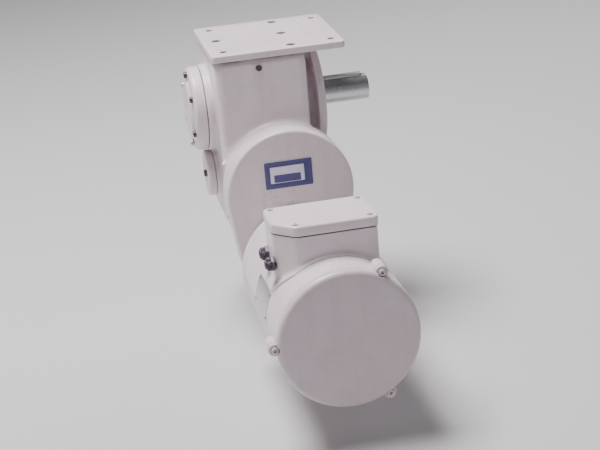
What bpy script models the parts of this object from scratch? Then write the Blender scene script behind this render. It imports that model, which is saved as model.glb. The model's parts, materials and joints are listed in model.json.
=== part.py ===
"""Right-angle gearmotor that hangs from a plate on top of its gear case.

Frame: metres, +Z up. The origin is the centre of the top face of the mounting
plate over the gear case. The motor lies along Y with its free end towards -Y,
and the output shaft points along +X.
"""
import math

import bmesh
import bpy
from mathutils import Euler, Matrix, Vector

# ---------------------------------------------------------------- dimensions
GAP = 0.0003            # clearance between pieces that touch

PLATE_X0, PLATE_X1 = -0.072, 0.128      # mounting plate on top
PLATE_Y = 0.100
PLATE_T = 0.010
PLATE_HOLE_R = 0.0055
TAPPED_R = 0.00425      # 10 mm thread in the case below the plate
COUNTERBORE_Z = -0.0130 # bottom of the wider mouth of the tapped holes
PLATE_HOLES = [(-0.050, -0.075), (-0.050, 0.075), (0.112, -0.075), (0.112, 0.075)]

CASE_HX = 0.068         # gear case, half width
CASE_HY = 0.100         # gear case, half depth
CASE_BOTTOM = -0.275
CASE_WALL = 0.008

OUT_Z = -0.100          # output shaft axis, along X
CROSS_Z = -0.205        # intermediate shaft axis, along X
MOTOR_X = 0.020         # motor and bevel pinion stand off centre
MOTOR_Z = -0.292        # motor axis, along Y

EGG_R1 = 0.095          # arched first-stage case: upper radius
EGG_R2 = 0.084          # and lower radius
EGG_Z2 = -0.290
EGG_WALL = 0.007
ARCH_Y0, ARCH_Y1 = -0.150, -0.112
RIM_T = 0.0125          # rim plate cast on the gear case

MOTOR_R = 0.095
MOTOR_WALL = 0.007
FRAME_Y0, FRAME_Y1 = -0.4985, -0.240
END_Y = -0.514
END_ROUND = 0.012       # rounding of the end cover's rim
LUG_Y = -0.5075         # front of the end cover's lugs
SEAT_Y = LUG_Y + 0.0003 # face that the end screws' heads stand on
NECK_R = 0.066

BOX_X0, BOX_X1 = -0.056, 0.082          # terminal box
BOX_Y0, BOX_Y1 = -0.450, -0.360
BOX_CH = 0.028
BOX_TOP = -0.150
LID_T = 0.014
BOX_WALL = 0.004
BOX_FLOOR = -0.2165     # deepest level of the terminal box's hollow
GLAND_Y = (-0.420, -0.378)
GLAND_Z = -0.207
ENTRY_R = 0.0048        # open bore of each cable entry

MODULE_1 = 0.002        # spur stage
T_MOTOR, T_INPUT = 17, 70
MODULE_2 = 0.0025       # bevel stage
T_BEVEL_P, T_BEVEL_G = 16, 40
MODULE_3 = 0.0025       # final stage
T_FINAL_P, T_OUT = 22, 62
PRESSURE = math.radians(20.0)

FLANGE_R = 0.080
FLANGE_X0, FLANGE_X1 = 0.085, 0.097
SPIGOT = 0.0035         # centring spigot on the flange face
SHAFT_R = 0.020
SHAFT_END = 0.177

# ------------------------------------------------------------------ clean up
for ob in list(bpy.data.objects):
    bpy.data.objects.remove(ob, do_unlink=True)

PARTS = bpy.data.collections.new("gearmotor")
CUTS = bpy.data.collections.new("cutters")
bpy.context.scene.collection.children.link(PARTS)
bpy.context.scene.collection.children.link(CUTS)


# ----------------------------------------------------------------- materials
def material(name, rgb, rough, metal):
    m = bpy.data.materials.new(name)
    m.use_nodes = True
    p = m.node_tree.nodes["Principled BSDF"]
    p.inputs["Base Color"].default_value = (*rgb, 1.0)
    p.inputs["Roughness"].default_value = rough
    p.inputs["Metallic"].default_value = metal
    return m


FINISH = {
    "white_paint": ((0.76, 0.73, 0.745), 0.38, 0.0),
    "steel": ((0.55, 0.55, 0.56), 0.32, 1.0),
    "dark_steel": ((0.22, 0.22, 0.23), 0.42, 1.0),
    "zinc": ((0.66, 0.66, 0.68), 0.35, 1.0),
    "copper": ((0.62, 0.27, 0.12), 0.40, 1.0),
    "laminate": ((0.30, 0.30, 0.32), 0.50, 1.0),
    "black_rubber": ((0.03, 0.03, 0.03), 0.70, 0.0),
    "dark_plastic": ((0.05, 0.03, 0.055), 0.45, 0.0),
    "board": ((0.42, 0.16, 0.06), 0.50, 0.0),
    "label": ((0.78, 0.77, 0.90), 0.35, 0.0),
    "brass": ((0.62, 0.45, 0.18), 0.35, 1.0),
}


# ------------------------------------------------------------------- helpers
def link(ob, coll=PARTS):
    for c in list(ob.users_collection):
        c.objects.unlink(ob)
    coll.objects.link(ob)
    return ob


def give(ob, finish):
    ob.data.materials.clear()
    ob.data.materials.append(material(ob.name, *FINISH[finish]))
    return ob


def to_cutter(ob):
    ob.hide_render = True
    ob.display_type = "WIRE"
    return link(ob, CUTS)


def smooth(ob, deg=35.0):
    ob.data.shade_smooth()
    ob.data.set_sharp_from_angle(angle=math.radians(deg))
    return ob


def cube(name, x0, x1, y0, y1, z0, z1):
    """Box between two corners, its size in its mesh."""
    bpy.ops.mesh.primitive_cube_add(size=1.0, location=(0, 0, 0))
    ob = bpy.context.object
    ob.name = name
    ob.data.name = name
    ob.data.transform(Matrix.Diagonal((x1 - x0, y1 - y0, z1 - z0, 1.0)))
    ob.location = ((x0 + x1) / 2, (y0 + y1) / 2, (z0 + z1) / 2)
    return link(ob)


TURN = {"Z": (0, 0, 0), "Y": (-math.pi / 2, 0, 0), "X": (0, math.pi / 2, 0)}


def rod(name, r, s0, s1, at, axis, sides=24, spin=0.0):
    """Cylinder along a world axis from s0 to s1."""
    bpy.ops.mesh.primitive_cylinder_add(vertices=sides, radius=r, depth=s1 - s0)
    ob = bpy.context.object
    ob.name = name
    ob.data.name = name
    ob.data.transform(Matrix.Rotation(spin, 4, "Z"))
    ob.data.transform(Matrix.Translation((0, 0, (s0 + s1) / 2)))
    ob.rotation_euler = TURN[axis]
    ob.location = on_axis(at, axis)
    return link(smooth(ob))


def on_axis(at, axis):
    if axis == "Z":
        return (at[0], at[1], 0.0)
    if axis == "Y":
        return (at[0], 0.0, at[1])
    return (0.0, at[0], at[1])


def turned(name, profile, at, axis, sides=24):
    """Solid of revolution. profile is (radius, position along the axis),
    run down the outer side; one that stays off the axis is closed to a ring."""
    on = [p for p in profile if p[0] < 1e-7]
    ring = not on
    area = 0.0
    for (r0, s0), (r1, s1) in zip(profile, profile[1:] + profile[:1]):
        area += r0 * s1 - r1 * s0
    pts = list(profile) if area < 0 else list(reversed(profile))
    me = bpy.data.meshes.new(name)
    edges = [(i, i + 1) for i in range(len(pts) - 1)]
    if ring:
        edges.append((len(pts) - 1, 0))
    me.from_pydata([(r, 0.0, s) for r, s in pts], edges, [])
    ob = bpy.data.objects.new(name, me)
    PARTS.objects.link(ob)
    mod = ob.modifiers.new("turn", "SCREW")
    mod.axis = "Z"
    mod.angle = 2 * math.pi
    mod.steps = sides
    mod.render_steps = sides
    mod.use_merge_vertices = True
    mod.merge_threshold = 0.00001
    mod.use_smooth_shade = True
    ob.rotation_euler = TURN[axis]
    ob.location = on_axis(at, axis)
    return ob


def outline(name, loops, s0, s1, axis, at=(0.0, 0.0)):
    """Flat outline, with any further loops as holes, made solid between two
    positions along a world axis. The loops are in the plane that the axis
    leaves, and turn with it."""
    cu = bpy.data.curves.new(name, "CURVE")
    cu.dimensions = "2D"
    cu.fill_mode = "BOTH"
    cu.extrude = (s1 - s0) / 2
    for loop in loops:
        sp = cu.splines.new("POLY")
        sp.points.add(len(loop) - 1)
        for p, (a, b) in zip(sp.points, loop):
            p.co = (a, b, 0.0, 1.0)
        sp.use_cyclic_u = True
    tmp = bpy.data.objects.new(name + "_outline", cu)
    CUTS.objects.link(tmp)
    bpy.context.view_layer.update()
    me = bpy.data.meshes.new_from_object(
        tmp.evaluated_get(bpy.context.evaluated_depsgraph_get()))
    bpy.data.objects.remove(tmp, do_unlink=True)
    bm = bmesh.new()
    bm.from_mesh(me)
    bmesh.ops.remove_doubles(bm, verts=bm.verts, dist=0.000005)
    bmesh.ops.recalc_face_normals(bm, faces=bm.faces)
    bmesh.ops.translate(bm, verts=bm.verts, vec=(0, 0, (s0 + s1) / 2))
    bm.to_mesh(me)
    bm.free()
    me.name = name
    ob = bpy.data.objects.new(name, me)
    PARTS.objects.link(ob)
    ob.rotation_euler = TURN[axis]
    ob.location = on_axis(at, axis)
    return ob


def boolean(ob, cutter, op):
    to_cutter(cutter)
    mod = ob.modifiers.new(op.lower(), "BOOLEAN")
    mod.operation = op
    mod.object = cutter
    mod.solver = "EXACT"
    return ob


def cut(ob, cutter):
    return boolean(ob, cutter, "DIFFERENCE")


def join(ob, other):
    return boolean(ob, other, "UNION")


def bevel(ob, width, segments=2, angle=40.0):
    mod = ob.modifiers.new("edge", "BEVEL")
    mod.width = width
    mod.segments = segments
    mod.limit_method = "ANGLE"
    mod.angle_limit = math.radians(angle)
    return ob


def circle(r, n, cx=0.0, cy=0.0, start=0.0):
    return [(cx + r * math.cos(start + 2 * math.pi * i / n),
             cy + r * math.sin(start + 2 * math.pi * i / n)) for i in range(n)]


def egg(shrink, n1=24, n2=16):
    """Outline of the first-stage case: two arcs and their outer tangents.
    It is given in the plane of an outline along Y, whose second axis is -Z."""
    r1, r2 = EGG_R1 - shrink, EGG_R2 - shrink
    lean = math.asin((r1 - r2) / (CROSS_Z - EGG_Z2))
    pts = []
    for i in range(n1 + 1):
        a = -lean + (math.pi + 2 * lean) * i / n1
        pts.append((MOTOR_X + r1 * math.cos(a), -(CROSS_Z + r1 * math.sin(a))))
    for i in range(n2 + 1):
        a = math.pi + lean + (math.pi - 2 * lean) * i / n2
        pts.append((MOTOR_X + r2 * math.cos(a), -(EGG_Z2 + r2 * math.sin(a))))
    return pts


# ----------------------------------------------------------- tooth geometry
def inv(a):
    return math.tan(a) - a


def half_angle(teeth, r, rp, backlash):
    """Half the angle that a tooth fills at radius r."""
    rb = rp * math.cos(PRESSURE)
    at_pitch = math.pi / (2 * teeth) - backlash / (4 * rp)
    return at_pitch + inv(PRESSURE) - (inv(math.acos(rb / r)) if r > rb else 0.0)


def tooth_ring(teeth, module, backlash=0.00035, phase=0.0, virtual=None):
    """Corners of a toothed outline: root, tip, tip, root for each tooth, with
    a tooth centred on the phase angle. Returns (radius offset, angle)."""
    n = virtual or teeth
    rp = module * n / 2
    scale = n / teeth
    tip, root = rp + module, rp - 1.25 * module
    ht = half_angle(n, tip, rp, backlash) * scale
    hr = half_angle(n, root, rp, backlash) * scale
    out = []
    for k in range(teeth):
        c = phase + 2 * math.pi * k / teeth
        out += [(root - rp, c - hr), (tip - rp, c - ht),
                (tip - rp, c + ht), (root - rp, c + hr)]
    return out


def spur(name, teeth, module, s0, s1, at, axis, bore, phase):
    rp = module * teeth / 2
    ring = [((rp + d) * math.cos(a), (rp + d) * math.sin(a))
            for d, a in tooth_ring(teeth, module, phase=phase)]
    return outline(name, [ring, circle(bore, 20)], s0, s1, axis, at)


def bevel_wheel(name, teeth, mate, module, face, apex, direction, bore, hub, phase):
    """Straight bevel wheel. Its teeth run from the large end towards the apex,
    so each section is the large end scaled about the apex. The wheel axis runs
    from the apex along direction, which is 'X-' or 'Y-'."""
    rp, rm = module * teeth / 2, module * mate / 2
    cone = math.atan2(rp, rm)
    length = math.hypot(rp, rm)
    shrink = 1.0 - face / length
    n_virtual = teeth / math.cos(cone)
    ring = tooth_ring(teeth, module, phase=phase, virtual=n_virtual)
    big = []
    for d, a in ring:
        big.append((rp + d * math.cos(cone), a, rm - d * math.sin(cone)))
    count = len(big)
    bm = bmesh.new()

    def row(pts):
        return [bm.verts.new((r * math.cos(a), r * math.sin(a), s)) for r, a, s in pts]

    back = rm + hub
    front = shrink * (rm + 1.25 * module * math.sin(cone))
    rows = [
        row([(bore, a, back) for _, a, _ in big]),
        row(big),
        row([(r * shrink, a, s * shrink) for r, a, s in big]),
        row([(bore, a, front) for _, a, _ in big]),
    ]
    for i, upper in enumerate(rows):
        lower = rows[(i + 1) % len(rows)]
        for j in range(count):
            k = (j + 1) % count
            bm.faces.new((upper[j], upper[k], lower[k], lower[j]))
    bmesh.ops.recalc_face_normals(bm, faces=bm.faces)
    me = bpy.data.meshes.new(name)
    bm.to_mesh(me)
    bm.free()
    ob = bpy.data.objects.new(name, me)
    PARTS.objects.link(ob)
    ob.location = apex
    ob.rotation_euler = {"X-": (0, -math.pi / 2, 0), "Y-": (math.pi / 2, 0, 0)}[direction]
    return ob


def ring_bearing(name, bore, outer, s0, s1, at, axis):
    """Sealed bearing, its races, balls and shields as one turned ring."""
    prof = [(bore, s1), (outer, s1), (outer, s0), (bore, s0)]
    return give(turned(name, prof, at, axis, 20), "steel")


def cap_screw(name, at, axis, s_face, out, r=0.005, h=0.004, sides=10, sink=0.0022):
    """Socket-head screw: its head stands out of s_face towards out (+1 or -1),
    with a round socket in it."""
    a = s_face + out * GAP
    b = a + out * h
    prof = [(0.0, b - out * sink), (0.5 * r, b - out * sink), (0.5 * r, b),
            (0.86 * r, b), (r, b - out * 0.14 * h), (r, a), (0.0, a)]
    return give(turned(name, prof, at, axis, sides), "zinc")


# ---------------------------------------------------------------- gear case
plate = give(cube("mounting_plate", PLATE_X0, PLATE_X1, -PLATE_Y, PLATE_Y, -PLATE_T, 0.0), "white_paint")
bevel(plate, 0.002, 1)
for i, (x, y) in enumerate(PLATE_HOLES):
    cut(plate, rod(f"plate_hole_{i}", PLATE_HOLE_R, -0.02, 0.01, (x, y), "Z", 12))

case = give(cube("gear_case", -CASE_HX, CASE_HX, -CASE_HY, CASE_HY, CASE_BOTTOM, -PLATE_T - GAP), "white_paint")
bevel(case, 0.009, 2)
cut(case, cube("case_hollow", -CASE_HX + CASE_WALL, CASE_HX - CASE_WALL,
               -CASE_HY + CASE_WALL, CASE_HY - CASE_WALL,
               CASE_BOTTOM + CASE_WALL, -PLATE_T - CASE_WALL))
# two of the plate's bolts screw down into bosses inside the case's roof
for i, (x, y) in enumerate(PLATE_HOLES[:2]):
    join(case, rod(f"case_boss_{i}", 0.0105, -0.0315, -0.014, (x, y), "Z", 16))
    cut(case, rod(f"case_thread_{i}", TAPPED_R, -0.0285, 0.0, (x, y), "Z", 12))
    cut(case, rod(f"case_counterbore_{i}", PLATE_HOLE_R, COUNTERBORE_Z, 0.0, (x, y), "Z", 12))
join(case, outline("case_rim", [egg(0.0)], ARCH_Y1, ARCH_Y1 + RIM_T, "Y"))
join(case, rod("case_pinion_boss", 0.040, -CASE_HY + 0.001, -0.054, (MOTOR_X, CROSS_Z), "Y", 24))
join(case, rod("case_pad_out", 0.066, -0.082, -CASE_HX + 0.002, (0, OUT_Z), "X", 32))
join(case, rod("case_pad_cross_l", 0.038, -0.075, -CASE_HX + 0.002, (0, CROSS_Z), "X", 24))
join(case, rod("case_pad_cross_r", 0.038, CASE_HX - 0.002, 0.076, (0, CROSS_Z), "X", 24))
cut(case, rod("case_bore_out", 0.0428, -0.09, 0.09, (0, OUT_Z), "X", 32))
cut(case, rod("case_bore_cross", 0.0313, -0.09, 0.09, (0, CROSS_Z), "X", 24))
cut(case, rod("case_bore_pinion", 0.0313, -0.12, -0.05, (MOTOR_X, CROSS_Z), "Y", 24))
cut(case, cube("case_window", -0.050, 0.050, 0.080, 0.120, -0.255, -0.032))

arch = outline("first_stage_case", [egg(0.0)], ARCH_Y0, ARCH_Y1 - GAP, "Y")
give(smooth(arch), "white_paint")
bevel(arch, 0.003, 1, 60)
cut(arch, outline("arch_hollow", [egg(EGG_WALL)], ARCH_Y0 + 0.008, ARCH_Y1 + 0.01, "Y"))
cut(arch, rod("arch_spigot_hole", 0.0455, -0.16, -0.13, (MOTOR_X, MOTOR_Z), "Y", 32))

rear = give(cube("rear_cover", -0.060, 0.060, CASE_HY + GAP, CASE_HY + 0.008, -0.265, -0.022), "white_paint")
bevel(rear, 0.003, 1)
rear_gasket = give(cube("rear_cover_gasket", -0.0497, 0.0497, CASE_HY - 0.0078, CASE_HY, -0.2547, -0.0323), "black_rubber")
cut(rear_gasket, cube("gasket_hole", -0.046, 0.046, 0.08, 0.12, -0.251, -0.036))

# left side: output bearing cover and intermediate bearing cap
cover = turned("output_bearing_cover",
               [(0.0, -0.0845), (0.036, -0.0845), (0.036, -0.0823), (0.064, -0.0823),
                (0.064, -0.0955), (0.0605, -0.0995), (0.046, -0.1005), (0.042, -0.1045), (0.0, -0.1045)],
               (0, OUT_Z), "X", 32)
give(cover, "white_paint")
cap_l = turned("cross_bearing_cap",
               [(0.0, -0.0753), (0.036, -0.0753), (0.036, -0.083), (0.033, -0.0865), (0.0, -0.0865)],
               (0, CROSS_Z), "X", 24)
give(cap_l, "white_paint")
cap_r = turned("cross_bearing_plug",
               [(0.0, 0.0822), (0.034, 0.0822), (0.036, 0.080), (0.036, 0.0763), (0.0, 0.0763)],
               (0, CROSS_Z), "X", 24)
give(cap_r, "white_paint")

# right side: output flange with its neck, and the shaft seal in it
flange = turned("output_flange",
                [(0.0315, FLANGE_X1 + SPIGOT), (0.055, FLANGE_X1 + SPIGOT), (0.055, FLANGE_X1),
                 (FLANGE_R, FLANGE_X1), (FLANGE_R, FLANGE_X0),
                 (0.053, FLANGE_X0), (0.053, CASE_HX + GAP),
                 (0.0428, CASE_HX + GAP), (0.0428, 0.0815), (0.0315, 0.0815)],
                (0, OUT_Z), "X", 32)
give(flange, "white_paint")
for i in range(4):
    a = math.radians(45 + 90 * i)
    cut(flange, rod(f"flange_hole_{i}", 0.0055, 0.08, 0.11,
                    (0.068 * math.cos(a), OUT_Z + 0.068 * math.sin(a)), "X", 12))
give(turned("output_seal", [(0.0228, 0.0935), (0.0312, 0.0935), (0.0312, 0.0855), (0.0258, 0.0855),
                            (0.0258, 0.0905), (0.0228, 0.0905)], (0, OUT_Z), "X", 24), "black_rubber")

# ----------------------------------------------------------------- bearings
ring_bearing("output_bearing_left", 0.0225, 0.0425, -0.081, -0.062, (0, OUT_Z), "X")
ring_bearing("output_bearing_right", 0.0225, 0.0425, 0.062, 0.081, (0, OUT_Z), "X")
ring_bearing("cross_bearing_left", 0.015, 0.031, -0.074, -0.060, (0, CROSS_Z), "X")
ring_bearing("cross_bearing_right", 0.015, 0.031, 0.0605, 0.0745, (0, CROSS_Z), "X")
ring_bearing("pinion_bearing_front", 0.015, 0.031, -0.1105, -0.0945, (MOTOR_X, CROSS_Z), "Y")
ring_bearing("pinion_bearing_rear", 0.015, 0.031, -0.0745, -0.0585, (MOTOR_X, CROSS_Z), "Y")
ring_bearing("motor_bearing_drive", 0.0125, 0.026, -0.1915, -0.1768, (MOTOR_X, MOTOR_Z), "Y")
ring_bearing("motor_bearing_rear", 0.010, 0.0235, -0.4955, -0.482, (MOTOR_X, MOTOR_Z), "Y")

# -------------------------------------------------------------- output train
shaft = turned("output_shaft",
               [(0.0, SHAFT_END), (SHAFT_R - 0.0012, SHAFT_END), (SHAFT_R, SHAFT_END - 0.0012),
                (SHAFT_R, 0.1015), (0.0222, 0.1015), (0.0222, 0.0595), (0.0262, 0.0595), (0.0262, 0.053),
                (0.0240, 0.053), (0.0240, 0.0165), (0.0222, 0.0165), (0.0222, -0.0825), (0.0, -0.0825)],
               (0, OUT_Z), "X", 24)
give(shaft, "steel")
KEY_X0, KEY_X1 = 0.106, 0.170
cut(shaft, cube("keyway", KEY_X0 - 0.0003, KEY_X1 + 0.0003, -0.0063, 0.0063,
                OUT_Z + SHAFT_R - 0.005, OUT_Z + SHAFT_R + 0.005))
key = give(cube("output_key", KEY_X0, KEY_X1, -0.006, 0.006,
                OUT_Z + SHAFT_R - 0.0047, OUT_Z + SHAFT_R + 0.003), "steel")
bevel(key, 0.0008, 1)
# the key's origin sits on the shaft axis that it turns about
key.data.transform(Matrix.Translation((key.location.x, key.location.y, key.location.z - OUT_Z)))
key.location = (0.0, 0.0, OUT_Z)

give(spur("output_gear", T_OUT, MODULE_3, 0.018, 0.048, (0, OUT_Z), "X", 0.0243,
          math.pi / T_OUT), "dark_steel")

# -------------------------------------------------------- intermediate train
give(turned("cross_shaft",
            [(0.0, 0.0745), (0.0147, 0.0745), (0.0147, 0.0595), (0.0185, 0.0595), (0.0185, 0.0535),
             (0.0160, 0.0535), (0.0160, -0.030), (0.0147, -0.030), (0.0147, -0.0735), (0.0, -0.0735)],
            (0, CROSS_Z), "X", 24), "steel")
give(spur("final_pinion", T_FINAL_P, MODULE_3, 0.0165, 0.0495, (0, CROSS_Z), "X", 0.0163, 0.0), "dark_steel")
give(bevel_wheel("bevel_gear", T_BEVEL_G, T_BEVEL_P, MODULE_2, 0.015, (MOTOR_X, 0, CROSS_Z), "X-",
                 0.0163, 0.012, 0.0), "dark_steel")

# ------------------------------------------------------------- pinion train
give(turned("pinion_shaft",
            [(0.0, -0.0345), (0.0097, -0.0345), (0.0097, -0.0555), (0.0147, -0.0555), (0.0147, -0.1135),
             (0.0117, -0.1135), (0.0117, -0.1385), (0.0, -0.1385)],
            (MOTOR_X, CROSS_Z), "Y", 24), "steel")
give(bevel_wheel("bevel_pinion", T_BEVEL_P, T_BEVEL_G, MODULE_2, 0.015, (MOTOR_X, 0, CROSS_Z), "Y-",
                 0.0100, 0.0045, math.pi / T_BEVEL_P), "dark_steel")
give(spur("input_gear", T_INPUT, MODULE_1, -0.136, -0.119, (MOTOR_X, CROSS_Z), "Y", 0.0120,
          0.0), "dark_steel")

# -------------------------------------------------------------------- motor
mflange = turned("motor_flange",
                 [(0.0178, -0.1425), (0.0452, -0.1425), (0.0452, ARCH_Y0 - GAP), (NECK_R, ARCH_Y0 - GAP),
                  (NECK_R, -0.190), (0.0700, -0.200), (0.0845, -0.2105), (0.0915, -0.2190),
                  (MOTOR_R, FRAME_Y1 + GAP), (0.0882, FRAME_Y1 + GAP), (0.079, -0.217),
                  (0.034, -0.1925), (0.0263, -0.1925), (0.0263, -0.1765), (0.0178, -0.1765)],
                 (MOTOR_X, MOTOR_Z), "Y", 36)
give(mflange, "white_paint")
give(turned("motor_shaft_seal", [(0.0125, -0.163), (0.0175, -0.163), (0.0175, -0.170), (0.0140, -0.170),
                                 (0.0140, -0.1655), (0.0125, -0.1655)], (MOTOR_X, MOTOR_Z), "Y", 20), "black_rubber")

frame = turned("motor_frame",
               [(MOTOR_R - MOTOR_WALL, FRAME_Y1), (MOTOR_R, FRAME_Y1), (MOTOR_R, FRAME_Y0),
                (MOTOR_R - MOTOR_WALL, FRAME_Y0)], (MOTOR_X, MOTOR_Z), "Y", 36)
give(frame, "white_paint")
end = turned("end_cover",
             [(0.0, -0.4985), (0.0238, -0.4985), (0.0238, -0.481), (0.032, -0.481), (0.032, FRAME_Y0 - GAP),
              (MOTOR_R + 0.0008, FRAME_Y0 - GAP)]
             + [(MOTOR_R + 0.0008 - END_ROUND * (1 - math.cos(math.radians(t))),
                 END_Y + END_ROUND * (1 - math.sin(math.radians(t)))) for t in (0, 30, 60, 90)]
             + [(0.0, END_Y)], (MOTOR_X, MOTOR_Z), "Y", 36)
give(end, "white_paint")
LUG_R = 0.0985
for i, deg in enumerate((60, 180, 300)):
    a = math.radians(deg)
    at = (MOTOR_X + LUG_R * math.cos(a), MOTOR_Z + LUG_R * math.sin(a))
    join(frame, rod(f"frame_lug_{i}", 0.0085, FRAME_Y0 + 0.0002, FRAME_Y0 + 0.0245, at, "Y", 12))
    join(end, rod(f"end_lug_{i}", 0.0085, LUG_Y, FRAME_Y0 - GAP * 2, at, "Y", 12))
    # a spot face lets the screw's head in past the rounded rim
    cut(end, rod(f"end_spot_face_{i}", 0.0056, END_Y - 0.001, SEAT_Y, at, "Y", 12))
    cap_screw(f"end_screw_{i + 1}", at, "Y", SEAT_Y, -1, 0.0048, 0.0030)
# the inside of the tube stays round where the lugs join it
cut(frame, rod("frame_bore", MOTOR_R - MOTOR_WALL, -0.52, -0.23, (MOTOR_X, MOTOR_Z), "Y", 36))
cut(frame, rod("frame_wire_hole", 0.009, -0.22, -0.18, (MOTOR_X, -0.405), "Z", 12))

give(turned("stator_core", [(0.054, -0.290), (0.0873, -0.290), (0.0873, -0.430), (0.054, -0.430)],
            (MOTOR_X, MOTOR_Z), "Y", 36), "laminate")
for nm, s0, s1 in (("winding_end_drive", -0.2897, -0.258), ("winding_end_rear", -0.462, -0.4303)):
    m, h = (s0 + s1) / 2, (s1 - s0) / 2
    give(turned(nm, [(0.058, m + h), (0.074, m + h), (0.081, m + 0.3 * h), (0.081, m - 0.3 * h), (0.074, m - h),
                     (0.058, m - h)], (MOTOR_X, MOTOR_Z), "Y", 24), "copper")

give(turned("rotor_core", [(0.0173, -0.288), (0.0534, -0.288), (0.0534, -0.432), (0.0173, -0.432)],
            (MOTOR_X, MOTOR_Z), "Y", 24), "laminate")
give(turned("rotor_shaft",
            [(0.0, -0.1165), (0.0095, -0.1165), (0.0095, -0.1405), (0.0122, -0.1405), (0.0122, -0.1925),
             (0.0170, -0.1925), (0.0170, -0.4805), (0.0097, -0.4805), (0.0097, -0.4972), (0.0, -0.4972)],
            (MOTOR_X, MOTOR_Z), "Y", 24), "steel")
# a tooth gap of the motor pinion faces the tooth of the gear above it
give(spur("motor_pinion", T_MOTOR, MODULE_1, -0.1375, -0.1175, (MOTOR_X, MOTOR_Z), "Y", 0.0098,
          math.pi / 2 + math.pi / T_MOTOR), "dark_steel")


# ------------------------------------------------------------- terminal box
def box_outline(grow):
    x0, x1 = BOX_X0 - grow, BOX_X1 + grow
    y0, y1 = BOX_Y0 - grow, BOX_Y1 + grow
    r, c = 0.006, BOX_CH
    pts = []
    for cx, cy, a0 in ((x1 - r, y0 + r, -90), (x1 - r, y1 - r, 0), (x0 + r, y1 - r, 90)):
        for k in range(4):
            a = math.radians(a0 + 30 * k)
            pts.append((cx + r * math.cos(a), cy + r * math.sin(a)))
    # the corner nearest the glands is cut off at a slant, with eased ends
    e = 0.006
    pts += [(x0, y0 + c + e), (x0 + 0.25 * e, y0 + c - 0.5 * e),
            (x0 + c - 0.5 * e, y0 + 0.25 * e), (x0 + c + e, y0)]
    return pts


base = outline("terminal_box", [box_outline(0.0)], -0.262, BOX_TOP - LID_T - 0.0015, "Z")
give(smooth(base), "white_paint")
cut(base, rod("box_saddle", MOTOR_R + GAP, -0.48, -0.33, (MOTOR_X, MOTOR_Z), "Y", 72))
# the hollow's floor follows the motor, and is deepest at the cable entries
hollow = outline("box_hollow", [box_outline(-BOX_WALL)], BOX_FLOOR, BOX_TOP, "Z")
cut(hollow, rod("box_floor", MOTOR_R + 0.0030, -0.48, -0.33, (MOTOR_X, MOTOR_Z), "Y", 72))
cut(base, hollow)
for i, y in enumerate(GLAND_Y):
    cut(base, rod(f"entry_bore_{i}", ENTRY_R, BOX_X0 - 0.010, BOX_X0 + 0.016, (y, GLAND_Z), "X", 12))
cut(base, rod("box_wire_hole", 0.009, -0.22, -0.18, (MOTOR_X, -0.405), "Z", 12))
gask = outline("terminal_box_gasket", [box_outline(-0.0004), box_outline(-BOX_WALL)],
               BOX_TOP - LID_T - 0.0012, BOX_TOP - LID_T, "Z")
give(gask, "black_rubber")
lid = outline("terminal_box_lid", [box_outline(0.0008)], BOX_TOP - LID_T + GAP, BOX_TOP, "Z")
give(smooth(lid), "white_paint")
bevel(lid, 0.002, 2, 60)
cut(lid, outline("lid_hollow", [box_outline(-0.009)], BOX_TOP - LID_T - 0.01, BOX_TOP - 0.004, "Z"))
for i, (x, y) in enumerate(((BOX_X1 - 0.009, BOX_Y0 + 0.009), (BOX_X1 - 0.009, BOX_Y1 - 0.009),
                            (BOX_X0 + 0.009, BOX_Y1 - 0.009), (BOX_X0 + BOX_CH + 0.001, BOX_Y0 + 0.009))):
    cap_screw(f"lid_screw_{i + 1}", (x, y), "Z", BOX_TOP, 1, 0.0036, 0.0022, 10, 0.0012)

board = give(cube("terminal_board", -0.010, 0.050, -0.432, -0.385, -0.1935, -0.1875), "board")
bevel(board, 0.001, 1)
for i in range(3):
    x = 0.002 + 0.018 * i
    join(board, rod(f"terminal_stud_{i}", 0.0028, -0.188, -0.178, (x, -0.4205), "Z", 8))
cut(board, rod("board_wire_hole", 0.005, -0.21, -0.17, (MOTOR_X, -0.398), "Z", 10))

for i, y in enumerate(GLAND_Y):
    xf = BOX_X0 - GAP
    g = turned(f"cable_gland_{i + 1}",
               [(ENTRY_R, xf), (0.0105, xf), (0.0105, xf - 0.003), (0.0088, xf - 0.0035), (0.0088, xf - 0.0095),
                (0.0065, xf - 0.012), (ENTRY_R, xf - 0.012)], (y, GLAND_Z), "X", 12)
    give(g, "dark_plastic")

# ------------------------------------------------------ plugs, label, screws
give(turned("breather_plug", [(0.0, 0.1225), (0.006, 0.1225), (0.0075, 0.1205), (0.0075, 0.1175),
                              (0.0105, 0.1165), (0.0105, 0.1083), (0.0, 0.1083)], (0.0, -0.045), "Y", 12), "brass")
give(turned("oil_level_plug", [(0.0, -0.0685 - 0.0065), (0.0085, -0.0685 - 0.0065), (0.0095, -0.0685 - 0.005),
                               (0.0095, -0.0683), (0.0, -0.0683)], (0.075, -0.215), "X", 12), "zinc")
give(turned("drain_plug", [(0.0, CASE_BOTTOM - GAP), (0.0095, CASE_BOTTOM - GAP), (0.0095, CASE_BOTTOM - 0.006),
                           (0.0085, CASE_BOTTOM - 0.0075), (0.0, CASE_BOTTOM - 0.0075)],
            (-0.035, 0.055), "Z", 12), "zinc")
plate_l = give(cube("label_plate", -0.018, 0.054, ARCH_Y0 - GAP - 0.0010, ARCH_Y0 - GAP, -0.196, -0.154), "label")

for i in range(6):
    a = math.radians(30 + 60 * i)
    cap_screw(f"cover_screw_{i + 1}", (0.0535 * math.cos(a), OUT_Z + 0.0535 * math.sin(a)), "X", -0.1003, -1,
              0.0048, 0.0042)
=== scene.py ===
import json
import math

import bmesh
import bpy
from mathutils import Matrix, Vector

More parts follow.
